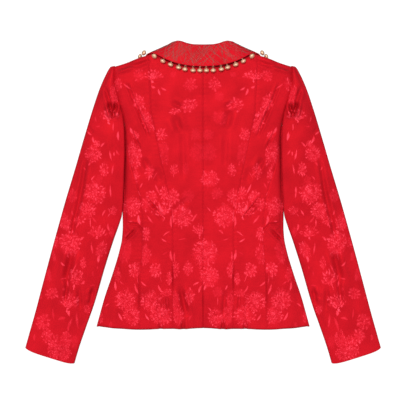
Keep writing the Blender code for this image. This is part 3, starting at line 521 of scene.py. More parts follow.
def curve(xs, ys, at):
    """A smooth curve through the given places that doesn't overshoot between them."""
    xs, ys, at = np.asarray(xs, float), np.asarray(ys, float), np.asarray(at, float)
    step = np.diff(xs)
    slope = np.diff(ys) / step
    tangent = np.zeros_like(ys)
    total = slope[:-1] + slope[1:]
    same_way = slope[:-1] * slope[1:] > 0
    tangent[1:-1][same_way] = (2 * slope[:-1] * slope[1:])[same_way] / total[same_way]
    tangent[0], tangent[-1] = slope[0], slope[-1]
    i = np.clip(np.searchsorted(xs, at, side="right") - 1, 0, len(step) - 1)
    t = np.clip((at - xs[i]) / step[i], 0, 1)
    h = step[i]
    return (
        (1 + 2 * t) * (1 - t) ** 2 * ys[i]
        + t * (1 - t) ** 2 * h * tangent[i]
        + t * t * (3 - 2 * t) * ys[i + 1]
        + t * t * (t - 1) * h * tangent[i + 1]
    )


def line(rows, at):
    """The value of a table of Line rows at a place."""
    return curve([row.at for row in rows], [row.value for row in rows], at)


def body(name, up):
    """One column of the body's table at the height up."""
    return curve([row.up for row in BODY_ROWS], [getattr(row, name) for row in BODY_ROWS], up)


def creases(rows, side, out, up):
    """How much the soft creases lower the cloth, with a low ridge beside each."""
    drop = np.zeros(np.broadcast(out, up).shape)
    for row in rows:
        if row.side == -side:
            continue
        along = np.array([row.end_out - row.out, row.end_up - row.up], float)
        length = np.hypot(*along)
        along /= length
        reach = ((out - row.out) * along[0] + (up - row.up) * along[1]) / length
        aside = ((out - row.out) * along[1] - (up - row.up) * along[0]) / row.width
        fade = smoothstep(reach / CREASE_FADE) * smoothstep((1 - reach) / CREASE_FADE)
        ridge = RIDGE * np.exp(-((np.abs(aside) - RIDGE_ASIDE) ** 2))
        drop = drop + row.depth * fade * (np.exp(-aside**2) - ridge)
    return drop


def slack(side, out, up):
    """Faint uneven waves of cloth that lies loose: the height of each, and its lengths out and up."""
    return (
        0.35 * np.sin(out / 17 + up / 29 + side)
        + 0.25 * np.sin(out / 11 - up / 19 + 2 * side)
        + 0.18 * np.sin(up / 9 + out / 31 + side) * np.sin(out / 7.5 - up / 40)
    )


def seam_dip(distance, up):
    """How much a sewn seam lowers the cloth, and the small uneven waves that stitching leaves."""
    dip = SEAM_DIP * np.exp(-((distance / SEAM_REACH) ** 2))
    waves = np.sin(2 * pi * up / PUCKER_STEP + 1.3 * np.sin(up / 23))
    return dip + PUCKER * waves * np.exp(-distance / PUCKER_REACH)


def front_height(out, up):
    """The underside of the front, which is flat on the surface but for the part on the collar."""
    from_neck = np.hypot(out, up - NECK_CENTRE_UP)
    return FRONT_LIFT * (1 - ramp(from_neck, *FRONT_LIFT_FALL))


def back_height(side, out, up):
    """The outer surface of the back, with what lies hidden under the sleeve."""
    edge, fold, visible = body("edge", up), body("fold", up), body("visible", up)
    edge_z, crown = body("edge_z", up), body("crown", up)
    inside = np.maximum(visible - out, 0)
    rise = sum(share * (1 - np.exp(-inside / length)) for share, length in EDGE_RISE)
    flap = smoothstep((out - visible) / np.maximum(edge - fold - visible, 1))
    height = edge_z + (crown - edge_z) * rise + (2 * fold - edge_z) * flap
    calm = smoothstep(inside / CALM_EDGE)
    height = height - creases(BODY_CREASES, side, out, up) * calm + slack(side, out, up) * calm
    return np.maximum(height - hem_roll(out, up) - neck_hollow(out, up), CLOTH)


def neck_hollow(out, up):
    """How far the back sinks under the collar's edge, where the neck seam holds it up above."""
    lying = COLLAR_ROWS[:HOLLOW_ROWS]
    inside = up - curve([row.edge_out for row in lying], [row.edge_up for row in lying], out)
    depth = NECK_HOLLOW * (HOLLOW_AT_CENTRE + (1 - HOLLOW_AT_CENTRE) * ramp(out, *HOLLOW_DEEPENS))
    across = np.exp(-(((inside - HOLLOW_INSIDE) / HOLLOW_REACH) ** 2))
    return depth * across * (1 - ramp(out, *HOLLOW_ENDS))


def sleeve_lift(side, out, up):
    """How high the sleeve's under layer has to be to lie on the side of the body."""
    underarm_top = UNDERARM_UP + (UNDERARM_OUT - out) * UNDERARM_SLOPE
    inside = np.minimum(body("edge", up) - out, underarm_top - up) + LIFT_MARGIN
    cover = back_height(side, out, np.minimum(up, SIDE_TOP_UP)) + SLEEVE_CLEARANCE
    return cover * (1 - smoothstep(-inside / LIFT_RUN))


def spaced(count, first=SEAM_STEPS, last=SEAM_STEPS):
    """Even places from 0 to 1, but for the first and last ones, whose distances from the ends are given."""
    start, end = np.array(first), 1 - np.array(last)[::-1]
    middle = np.linspace(start[-1], end[0], count - len(start) - len(end) + 2)[1:-1]
    return np.concatenate([start, middle, end])


def grid(rows, columns):
    """Places from 0 to 1 down the rows and across the columns, with narrow ones at hem and seams."""
    return np.meshgrid(spaced(rows, EVEN, HEM_STEPS), spaced(columns), indexing="ij")


def hem_roll(out, up):
    """How far the cloth rolls down towards the hem's edge."""
    from_edge = np.clip((up - line(HEM_LINE, out)) / HEM_ROLL, 0, 1)
    return HEM_DROP * (1 - np.sqrt(1 - (1 - from_edge) ** 2))


def panel_plan(v, u, inner, outer, top, hem):
    """out and up over a panel between two seams, a top edge and a hem.

    Each depends on the other, and after a few rounds both have settled.
    """
    up = np.zeros(np.shape(v))
    for _ in range(PLAN_ROUNDS):
        out = inner(up) + (outer(up) - inner(up)) * u
        up = top(out) + (hem(out) - top(out)) * v
    return out, up


def corner_turn(out):
    """From 0 along the back neckline to 1 along the shoulder, which is folded."""
    return ramp(out, *NECK_CORNER)


def fold_start(out):
    """The line where the back starts to round down at the shoulder."""
    turn = corner_turn(out)
    return line(TOP_LINE, out) - SHOULDER_FOLD * turn - NECK_EDGE * (1 - turn)


def normals(surface, facing=1):
    """The unit normal at each point of a grid, which is up on a back panel where facing is 1."""
    normal = np.cross(np.gradient(surface, axis=0), np.gradient(surface, axis=1)) * facing
    return normal / np.maximum(np.linalg.norm(normal, axis=-1, keepdims=True), 1e-9)


def turned_in(surface, facing, first=1.0, last=1.0, allowance=None):
    """The surface with its seam allowances turned in at its first and last column.

    first and last are the shares of the full depth, one for each row where they differ, and
    allowance how far the last one goes on outwards before it is turned down.
    """
    normal = normals(surface, facing)
    depth = TURN_IN * np.array(TURN_STEPS)[None, :, None]
    first, last = (np.reshape(share, (-1, 1, 1)) for share in (first, last))
    start = (surface[:, :1] - normal[:, :1] * depth * first)[:, ::-1]
    end = surface[:, -1:] - normal[:, -1:] * depth * last
    if allowance is not None:
        outwards = np.array(ALLOWANCE_STEPS)[None, :, None] * (1, 0, 0)
        end = end + allowance[:, None, None] * outwards
    return np.concatenate([start, surface, end], axis=1)


def back_panel(side, inner, outer, columns):
    """A panel of the back. Its first rows go round the shoulder's fold, and the rest run to the hem."""
    v, u = grid(BACK_ROWS, columns)
    out, up = panel_plan(v, u, inner, outer, fold_start, lambda at: line(HEM_LINE, at))
    dip = seam_dip(out - inner(up), up) + seam_dip(outer(up) - out, up + PUCKER_SHIFT)
    flat = np.stack([out, up, back_height(side, out, up) - dip], axis=-1)
    angle = pi * np.linspace(1, 0, SHOULDER_ROWS, endpoint=False)[:, None]
    out, up, height = (flat[0, :, k][None, :] for k in range(3))
    turn = corner_turn(out)
    half = (height - front_height(out, up)) / 2
    reach = turn * SHOULDER_FOLD * np.sin(angle) + (1 - turn) * NECK_EDGE * angle / pi
    drop = turn * half * (1 - np.cos(angle))
    rounded = np.stack([out + 0 * reach, up + reach, height - drop], axis=-1)
    return np.concatenate([rounded, flat])


def side_panel(side, seam):
    """The side of the back, from the points of its seam under the sleeve to the side fold and round it."""
    v = spaced(len(seam), EVEN, HEM_STEPS)[:, None]
    u = spaced(SIDE_COLUMNS, last=EVEN)[None, :]
    start, seam_up = seam[:, 0][:, None], seam[:, 1][:, None]
    edge_up = UNDERARM_UP + (line(HEM_LINE, SIDE_HEM[1]) - UNDERARM_UP) * v
    end = body("edge", edge_up) - body("fold", edge_up)
    out = start + (end - start) * u
    up = seam_up + (edge_up - seam_up) * u
    hem_start, hem_end = line(HEM_LINE, SIDE_HEM[0]), line(HEM_LINE, SIDE_HEM[1])
    hem_sag = line(HEM_LINE, out) - (hem_start + (hem_end - hem_start) * u)
    up = up + hem_sag * ramp(v, 1 - HEM_SHARE, 1)
    dip = seam_dip(out - start, up + PUCKER_SHIFT)
    flat = np.stack([out, up, back_height(side, out, up) - dip], axis=-1)
    angle = pi * np.linspace(0, 1, SIDE_FOLD_COLUMNS + 1)[1:][None, :]
    out, up, height = (flat[:, -1, k][:, None] for k in range(3))
    fold = body("fold", up)
    rounded = np.stack(
        [out + fold * np.sin(angle), up + 0 * angle, height - height / 2 * (1 - np.cos(angle))], axis=-1
    )
    return np.concatenate([flat, rounded, rounded[:, -1:] - (FOLD_RUN, 0, 0)], axis=1)


def front_panel(side):
    """One front, flat on the surface, from the centre front to the side fold and the armhole.

    The two meet a little right of the middle, so that nothing shows through the back's seam.
    """
    v, u = grid(FRONT_ROWS, FRONT_COLUMNS)

    def outer(up):
        side_edge = body("edge", up) - body("fold", up) - FOLD_RUN - UNDER_SEAM_GAP
        above = np.where(up > FRONT_UNDERARM[-1].at, line(ARMHOLE, up) - SEAM_GAP, line(FRONT_UNDERARM, up))
        return np.where(up > FRONT_UNDERARM[0].at, above, side_edge)

    def top(out):
        shoulder = fold_start(out) - UNDER_SEAM_GAP
        neck = np.minimum(line(FRONT_NECK_LINE, out), shoulder)
        return np.where(out > FRONT_NECK_LINE[-1].at, shoulder, neck)

    def hem(out):
        return line(HEM_LINE, out) + FRONT_HEM_UP

    out, up = panel_plan(v, u, lambda at: SEAM_GAP / 2 + side * FRONT_SHIFT, outer, top, hem)
    return np.stack([out, up, front_height(out, up)], axis=-1)


def sleeve_column(name, v):
    """One column of the sleeve's table, v from 0 at the shoulder to 1 at the cuff."""
    length = np.cumsum([0] + [
        (np.hypot(b.outer_out - a.outer_out, b.outer_up - a.outer_up)
         + np.hypot(b.inner_out - a.inner_out, b.inner_up - a.inner_up)) / 2
        for a, b in zip(SLEEVE_ROWS, SLEEVE_ROWS[1:])
    ])
    return curve(length / length[-1], [getattr(row, name) for row in SLEEVE_ROWS], v)


def sleeve_frame(v):
    """The outer corner of the sleeve's section, its width and the unit step to the inner corner."""
    outer = np.stack([sleeve_column("outer_out", v), sleeve_column("outer_up", v)], axis=-1)
    inner = np.stack([sleeve_column("inner_out", v), sleeve_column("inner_up", v)], axis=-1)
    width = np.linalg.norm(inner - outer, axis=-1, keepdims=True)
    return outer, width[..., 0], (inner - outer) / width


def cap_share(v):
    """The share of the full height that the section has where the sleeve head rounds down."""
    end_up = SLEEVE_ROWS[0].outer_up + CAP_BEYOND
    from_end = np.clip((end_up - sleeve_column("outer_up", v)) / CAP_ROUND, 0, 1)
    return np.sqrt(1 - (1 - from_end) ** 2)


def sleeve(side):
    """The outside of the sleeve, the place of each of its points on the cloth laid flat and, for
    each row, how far its edges are closed.

    It is one piece: its under layer, its outer fold, its upper layer and its inner fold. Near the
    shoulder it stays open towards the body, and that opening is the armhole. Below, its two edges
    meet under the inner fold.
    """
    even = np.linspace(0, 1, SLEEVE_ROW_COUNT)
    v = (even * (1 - SLEEVE_CLOSER + SLEEVE_CLOSER * even))[:, None]
    outer, width, step = sleeve_frame(v)
    outer_z, inner_z, crown, low, folded = (
        sleeve_column(name, v) for name in ("outer_z", "inner_z", "crown", "low", "folded")
    )
    outer_fold = np.minimum(SLEEVE_FOLD, width * FOLD_LIMITS[0])
    inner_reach = INNER_FOLD * folded + ARMHOLE_ROLL * (1 - folded)
    inner_reach = np.minimum(inner_reach, width * FOLD_LIMITS[1])

    across = np.linspace(1, 0, UNDER_COLUMNS)[None, :]
    under_end = width - folded * (INNER_FOLD + FOLD_RUN) - SEAM_GAP
    under_place = outer_fold + (under_end - outer_fold) * across
    under_height = low * folded * ramp(across, SEAM_RISE, 1)

    angle = pi * np.linspace(1, 0, FOLD_COLUMNS + 1)[None, 1:]
    outer_place = outer_fold * (1 - np.sin(angle))
    outer_height = outer_z / 2 * (1 + np.cos(angle))

    across = np.linspace(0, 1, UPPER_COLUMNS)[None, 1:]
    upper_place = outer_fold + (width - outer_fold - inner_reach) * across
    upper_height = outer_z + (inner_z - outer_z) * across
    arch = 1 - np.abs(2 * across - 1) ** CROWN_POWER
    upper_height = upper_height + (crown - (outer_z + inner_z) / 2) * arch

    angle = pi * np.linspace(0, 1, FOLD_COLUMNS + 1)[None, 1:]
    straight = (1 - folded) * angle / pi
    inner_place = width - inner_reach + folded * INNER_FOLD * np.sin(angle)
    inner_place = inner_place + straight * inner_reach * ROLL_SHARE
    inner_height = inner_z - folded * (inner_z - low) / 2 * (1 - np.cos(angle)) - straight * ARMHOLE_DROP

    run_place = inner_place[:, -1:] - folded * FOLD_RUN + (1 - folded) * inner_reach * (1 - ROLL_SHARE)
    place = np.concatenate([under_place, outer_place, upper_place, inner_place, run_place], axis=1)
    run_height = inner_height[:, -1:]
    height = np.concatenate([under_height, outer_height, upper_height, inner_height, run_height], axis=1)
    plan = outer + step * place[..., None]
    bulge = CUFF_BULGE * (1 - np.abs(2 * place / width - 1) ** CUFF_POWER) * ramp(v, 1 - CUFF_SHARE, 1)
    plan = plan + bulge[..., None] * np.stack([-step[..., 1], step[..., 0]], axis=-1)
    out, up = plan[..., 0], plan[..., 1]
    is_under = np.arange(height.shape[1]) < UNDER_COLUMNS
    lift = sleeve_lift(side, out, up) * ramp(v, CAP_SHARE, 2 * CAP_SHARE)
    height = np.where(is_under, np.maximum(height, lift), height)
    top = smoothstep((height - CREASED_ABOVE) / CREASED_RUN) * ~is_under
    waves = slack(side, out, up) * smoothstep(place / SLACK_MARGIN)
    waves = waves * smoothstep((width - place) / SLACK_MARGIN)
    height = height - (creases(SLEEVE_CREASES, side, out, up) - waves) * top
    middle = outer_z / 2
    height = middle + (height - middle) * cap_share(v)
    surface = np.concatenate([plan, height[..., None]], axis=-1)

    first_upper = UNDER_COLUMNS + FOLD_COLUMNS - 1
    run = np.cumsum(np.linalg.norm(np.diff(surface, axis=1), axis=-1), axis=1)
    run = np.concatenate([0 * run[:, :1], run], axis=1)
    round_under = run - run[:, [first_upper]] + outer_fold
    unrolled = np.where(np.arange(run.shape[1]) >= first_upper, place, round_under)
    return surface, outer + step * unrolled[..., None], SLEEVE_TURN + (1 - SLEEVE_TURN) * folded


def collar_value(name, s):
    """One column of the collar's table, s from 0 at the centre back to 1 at the centre front."""
    return curve(np.linspace(0, 1, len(COLLAR_ROWS)), [getattr(row, name) for row in COLLAR_ROWS], s)


def collar_line(name, s):
    """The points of the collar's neck, roll or edge."""
    return np.stack([collar_value(f"{name}_{part}", s) for part in AXES], axis=-1)


def collar_half():
    """The middle surface of one half of the collar: its stand, the roll and the fall with the edge."""
    s = np.linspace(0, 1, COLLAR_STATIONS)
    neck, inner, outer = (collar_line(name, s)[:, None, :] for name in ("neck", "roll", "edge"))
    turn, lean = (collar_value(name, s)[:, None, None] for name in ("turn", "lean"))
    step = (outer - inner) * (1, 1, 0)
    step = step / np.linalg.norm(step, axis=-1, keepdims=True)
    outwards = np.stack([-step[..., 1], step[..., 0], 0 * step[..., 0]], axis=-1)
    rise = turn * (np.cos(np.radians(lean)) * (0, 0, 1) + np.sin(np.radians(lean)) * outwards)
    centre = inner + step * turn
    angle = pi * (np.linspace(0, 1, ROLL_COLUMNS + 1) - 0.5)[None, :, None]
    roll = centre - step * turn * np.cos(angle) + rise * np.sin(angle)
    t = np.linspace(0, 1, STAND_COLUMNS, endpoint=False)[None, :, None]
    straight = neck + (roll[:, :1] - neck) * t
    bulge = 2 * t * (1 - t) * STAND_BULGE * (1 - ramp(s[:, None, None], *BULGE_FADE))
    stand = straight - step * bulge * BULGE_OUT - (0, 0, 1) * bulge * BULGE_DOWN
    fall = roll[:, -1:] + (outer - roll[:, -1:]) * np.linspace(0, 1, FALL_COLUMNS + 1)[None, 1:, None]
    return np.concatenate([stand, roll, fall], axis=1)


def both_halves(half):
    """A grid that starts at the centre back, with its mirror image put before it."""
    return np.concatenate([half[:0:-1] * (-1, 1, 1), half])


def ball_places():
    """The centre of each ball of one half and the place where its shank meets the collar's edge."""
    rows, s = np.linspace(0, 1, BALL_STATIONS), np.linspace(0, 1, EDGE_SAMPLES)
    edge, inner = (
        np.stack([np.interp(s, rows, column) for column in collar_line(name, rows).T], axis=-1)
        for name in ("edge", "roll")
    )
    run = np.concatenate([[0], np.cumsum(np.linalg.norm(np.diff(edge, axis=0), axis=1))])
    # The balls lie on the back as it is without its creases, which a side of 0 gives.
    centres = [
        (row.out, row.up, back_height(0, row.out, row.up) + BALL_RADIUS + SEAM_GAP) for row in BACK_BALLS
    ]
    centres += [(row.out, row.up, row.z) for row in SHOULDER_BALLS]
    last = np.argmin(np.linalg.norm(edge - centres[-1], axis=1))
    for k in range(FRONT_BALL_COUNT):
        i = np.argmin(np.abs(run - run[last] - (k + 1) * FRONT_BALL_SPACING))
        along = edge[i + 1] - edge[i - 1]
        hang = np.array([along[1], -along[0], 0])
        hang *= np.sign(hang @ (edge[i] - inner[i])) / np.linalg.norm(hang)
        centre = edge[i] + hang * BALL_STEP
        centre[2] = BALL_RADIUS
        centres.append(centre)
    places = []
    for centre in np.array(centres, float):
        nearest = edge[np.argmin(np.linalg.norm(edge - centre, axis=1))]
        reach = np.linalg.norm(nearest - centre)
        places.append((centre, centre + (nearest - centre) * (reach - SHANK_GAP) / reach))
    return places


def figures(places, rows):
    """For each face's corners, their place in the nearest figure, with its kind and strength."""
    found = np.zeros((len(places), 4, 3))
    if not rows:
        return found
    middle = places.mean(axis=1)
    nearest = np.full(len(places), FIGURE_REACH)
    for row in rows:
        tilt = radians(row.tilt)
        wide = np.array([cos(tilt), -sin(tilt)]) * 2 / row.wide
        tall = np.array([sin(tilt), cos(tilt)]) * 2 / row.tall
        offset = middle - (row.out, row.up)
        reach = np.hypot(offset @ wide, offset @ tall)
        closer = reach < nearest
        nearest[closer] = reach[closer]
        offset = places[closer] - (row.out, row.up)
        code = np.full(offset.shape[:2], row.kind + STRENGTH_SHARE * row.strength)
        found[closer] = np.stack([offset @ wide, offset @ tall, code], axis=-1)
    return found


def mesh_object(name, points, faces, material):
    """A smooth mesh from points in millimetres."""
    mesh = bpy.data.meshes.new(name)
    mesh.from_pydata((np.asarray(points) * MM).tolist(), [], faces)
    mesh.materials.append(material)
    mesh.shade_smooth()
    obj = bpy.data.objects.new(name, mesh)
    bpy.context.scene.collection.objects.link(obj)
    return obj


def cloth(name, surface, pattern, motifs, material, side, facing, thickness=CLOTH, offset=0.0):
    """A closed thin piece of cloth with rounded edges.

    Its outside is the surface, moved out by offset. The pattern gives the places of the surface's
    points on the cloth laid flat, for the woven figures.
    """
    surface = surface * (side, 1, 1)
    facing = facing * side
    normal = normals(surface, facing)
    outside = surface + normal * offset
    inside = outside - normal * thickness
    rows, columns = surface.shape[:2]
    number = np.arange(rows * columns).reshape(rows, columns)
    quads = np.stack([number[:-1, :-1], number[1:, :-1], number[1:, 1:], number[:-1, 1:]], axis=-1)
    quads = quads.reshape(-1, 4)[:, ::facing]

    away = np.zeros_like(surface)
    away[0] += outside[0] - outside[1]
    away[-1] += outside[-1] - outside[-2]
    away[:, 0] += outside[:, 0] - outside[:, 1]
    away[:, -1] += outside[:, -1] - outside[:, -2]
    away -= normal * (away * normal).sum(axis=-1, keepdims=True)
    away /= np.maximum(np.linalg.norm(away, axis=-1, keepdims=True), 1e-9)
    border = np.concatenate([number[0, :-1], number[:-1, -1], number[-1, :0:-1], number[:0:-1, 0]])
    rim = []
    for turn in radians(45), radians(90), radians(135):
        along_normal = (cos(turn) - 1) / 2 * thickness
        rim.append(outside + normal * along_normal + away * (sin(turn) * EDGE_BULGE * thickness))
    count = rows * columns
    rim_points = [layer.reshape(-1, 3)[border] for layer in rim]
    points = np.concatenate([outside.reshape(-1, 3), inside.reshape(-1, 3), *rim_points])
    rings = [border] + [2 * count + k * len(border) + np.arange(len(border)) for k in range(3)]
    rings.append(border + count)
    bands = [
        np.stack([a, b, np.roll(b, -1), np.roll(a, -1)], axis=-1)[:, :: -facing]
        for a, b in zip(rings, rings[1:])
    ]
    faces = np.concatenate([quads, quads[:, ::-1] + count, *bands])
    obj = mesh_object(name, points, faces.tolist(), material)

    for layer, kinds in (("flower", (MUM, FAN, BLOSSOM)), ("leaf", (LEAF,))):
        rows_here = [row for row in motifs if row.kind in kinds and row.side in (0, side)]
        values = np.zeros((len(faces), 4, 3))
        values[: len(quads)] = figures(pattern.reshape(-1, 2)[quads], rows_here)
        attribute = obj.data.attributes.new(layer, "FLOAT_VECTOR", "CORNER")
        attribute.data.foreach_set("vector", values.ravel())
    return obj


def linear(hex_colour):
    """A colour given as six hex digits of sRGB, as linear red, green, blue and alpha."""
    parts = [int(hex_colour[k:k + 2], 16) / 255 for k in (0, 2, 4)]
    return (*[part / 12.92 if part <= 0.04045 else ((part + 0.055) / 1.055) ** 2.4 for part in parts], 1)


def add(tree, kind, inputs=(), operation=None, **settings):
    """Adds a node with its settings.

    Its inputs are a row in the node's order, or are given by number or name. Each gets a value, a
    socket or a node's first output.
    """
    made = tree.nodes.new("ShaderNode" + kind)
    if operation:
        made.operation = operation
    for name, value in settings.items():
        setattr(made, name, value)
    for name, value in inputs.items() if isinstance(inputs, dict) else enumerate(inputs):
        if isinstance(value, bpy.types.Node):
            value = value.outputs[0]
        if isinstance(value, bpy.types.NodeSocket):
            tree.links.new(value, made.inputs[name])
        else:
            made.inputs[name].default_value = value
    return made


def finish(name, make, *colours):
    """A material of one shader, whose inputs are worked out by make from the place on the piece."""
    material = bpy.data.materials.new(name)
    material.use_nodes = True
    tree = material.node_tree
    tree.nodes.clear()
    place = add(tree, "TexCoord").outputs["Object"]
    shader = add(tree, "BsdfPrincipled", make(tree, place, *colours))
    add(tree, "OutputMaterial", {"Surface": shader})
    return material


def threshold(tree, value, edge, softness):
    """1 where the value is over the edge and 0 where it is under it, with a soft step between."""
    return add(tree, "MapRange", (value, edge - softness, edge + softness), interpolation_type="SMOOTHSTEP")


def petals(tree, radius, turn, seed, ring):
    """A ring of round-tipped petals, and all that lies within their tips.

    Each petal has its own length and shade, is brightest along its middle and has a thin dark gap
    to the next one.
    """
    along = add(tree, "Math", (turn, float(ring.count), ring.outer * RING_TURN), "MULTIPLY_ADD")
    which = add(tree, "Math", (along,), "FLOOR")
    which = add(tree, "Math", (seed, PETAL_NUMBERS, which), "MULTIPLY_ADD")
    place = add(tree, "Math", (along,), "FRACT")
    centred = add(tree, "Math", (place, 0.5), "SUBTRACT")
    aside = add(tree, "Math", (centred,), "ABSOLUTE")
    chance = add(tree, "TexWhiteNoise", {"W": which}, noise_dimensions="1D")
    shortest, longest = (share * ring.outer for share in PETAL_LENGTHS)
    length = add(tree, "MapRange", {0: chance, 3: shortest, 4: longest})
    squared = add(tree, "Math", (aside, aside), "MULTIPLY")
    tip = add(tree, "Math", (squared, -ring.rounding, length), "MULTIPLY_ADD")
    beyond = add(tree, "Math", (tip, radius), "SUBTRACT")
    past_inner = add(tree, "Math", (radius, ring.inner), "SUBTRACT")
    shown = threshold(tree, beyond, 0.03, 0.07)
    for share in (
        threshold(tree, past_inner, 0.0, 0.02),
        add(tree, "MapRange", (aside, *PETAL_STREAK), interpolation_type="SMOOTHSTEP"),
        add(tree, "MapRange", (aside, *PETAL_GAP), interpolation_type="SMOOTHSTEP"),
        add(tree, "MapRange", (chance.outputs["Color"], 0.0, 1.0, *PETAL_SHADES)),
    ):
        shown = add(tree, "Math", (shown, share), "MULTIPLY")
    return shown, threshold(tree, beyond, -0.1, 0.03)


def rosette(tree, radius, turn, seed, rings):
    """Rings of petals, each over the one outside it, on the half-toned disc that fills a flower."""
    figure = 0.0
    for ring in rings:
        shown, cover = petals(tree, radius, turn, seed, ring)
        opening = add(tree, "Math", (1.0, cover), "SUBTRACT")
        behind = add(tree, "Math", (figure, opening), "MULTIPLY")
        figure = add(tree, "Math", (shown, behind), "MAXIMUM")
    disc = add(tree, "MapRange", (radius, *FLOWER_FILL), interpolation_type="SMOOTHSTEP")
    return add(tree, "Math", (figure, disc), "MAXIMUM")


def polar(tree, aside, ahead):
    """The distance from a flower's middle, and the turn from ahead to aside, from -0.5 to 0.5."""
    flat = add(tree, "CombineXYZ", (aside, ahead))
    radius = add(tree, "VectorMath", (flat,), "LENGTH").outputs["Value"]
    angle = add(tree, "Math", (aside, ahead), "ARCTAN2")
    return radius, add(tree, "Math", (angle, 1 / (2 * pi)), "MULTIPLY")


def within_figure(tree, layer, wobble):
    """The place in the nearest figure, made slightly uneven, with the figure's kind and strength."""
    vector = add(tree, "Attribute", attribute_name=layer).outputs["Vector"]
    code = add(tree, "SeparateXYZ", (vector,)).outputs["Z"]
    kind = add(tree, "Math", (code,), "FLOOR")
    strength = add(tree, "Math", (code,), "FRACT")
    moved = add(tree, "VectorMath", (vector, wobble), "ADD")
    parts = add(tree, "SeparateXYZ", (moved,))
    return parts.outputs["X"], parts.outputs["Y"], kind, strength


def half_open_flower(tree, u, v, seed):
    """A flower seen from its side: petals that fan upwards over a stem."""
    lowered = add(tree, "Math", (v, FAN_FOOT), "ADD")
    radius, turn = polar(tree, u, lowered)
    figure = rosette(tree, radius, turn, seed, FAN_RINGS)
    open_by = add(tree, "Math", (turn,), "ABSOLUTE")
    upwards = add(tree, "Math", (FAN_OPEN, open_by), "SUBTRACT")
    fan = add(tree, "Math", (figure, threshold(tree, upwards, 0.0, 0.02)), "MULTIPLY")
    from_axis = add(tree, "Math", (u,), "ABSOLUTE")
    stem = 1.0
    for limit in (
        add(tree, "Math", (STEM_HALF, from_axis), "SUBTRACT"),
        add(tree, "Math", (STEM_TOP, v), "SUBTRACT"),
        add(tree, "Math", (v, STEM_FOOT), "SUBTRACT"),
    ):
        stem = add(tree, "Math", (stem, threshold(tree, limit, 0.0, 0.03)), "MULTIPLY")
    return add(tree, "Math", (fan, stem), "MAXIMUM")


def slender_leaf(tree, u, v):
    """A pointed leaf, slightly bent."""
    squared = add(tree, "Math", (v, v), "MULTIPLY")
    bent = add(tree, "Math", (squared, 0.5, u), "MULTIPLY_ADD")
    aside = add(tree, "Math", (bent,), "ABSOLUTE")
    half_width = add(tree, "Math", (squared, -1.0, 1.0), "MULTIPLY_ADD")
    inside = add(tree, "Math", (half_width, aside), "SUBTRACT")
    return threshold(tree, inside, 0.25, 0.35)


def woven_figure(tree, wobble, curls):
    """How strongly the figure shows, from 0 on the ground to 1. The curls shade the petals.

    Full flowers and small blossoms are seen from above, and half-open flowers from their side.
    """
    u, v, kind, strength = within_figure(tree, "flower", wobble)
    radius, turn = polar(tree, v, u)
    flowers = 0.0
    for number, shape in (
        (MUM, rosette(tree, radius, turn, strength, MUM_RINGS)),
        (FAN, half_open_flower(tree, u, v, strength)),
        (BLOSSOM, rosette(tree, radius, turn, strength, BLOSSOM_RINGS)),
    ):
        chosen = add(tree, "Math", (kind, float(number), KIND_MATCH), "COMPARE")
        part = add(tree, "Math", (shape, chosen), "MULTIPLY")
        flowers = add(tree, "Math", (flowers, part), "MAXIMUM")
    for share in (strength, curls):
        flowers = add(tree, "Math", (flowers, share), "MULTIPLY")
    u, v, kind, strength = within_figure(tree, "leaf", wobble)
    leaves = add(tree, "Math", (kind, float(LEAF), KIND_MATCH), "COMPARE")
    for share in (slender_leaf(tree, u, v), strength, LEAF_TONE):
        leaves = add(tree, "Math", (leaves, share), "MULTIPLY")
    return add(tree, "Math", (flowers, leaves), "MAXIMUM")


def curled_lines(tree, place):
    """Dark curled lines, some 10 mm apart, which lie where a noise has its middle value."""
    noise = add(tree, "TexNoise", {"Vector": place, "Scale": 1 / (10 * MM), "Detail": 1.0, "Distortion": 0.8})
    centred = add(tree, "Math", (noise, 0.5), "SUBTRACT")
    off_line = add(tree, "Math", (centred,), "ABSOLUTE")
    return add(tree, "MapRange", (off_line, *CURLED_LINE), interpolation_type="SMOOTHSTEP")


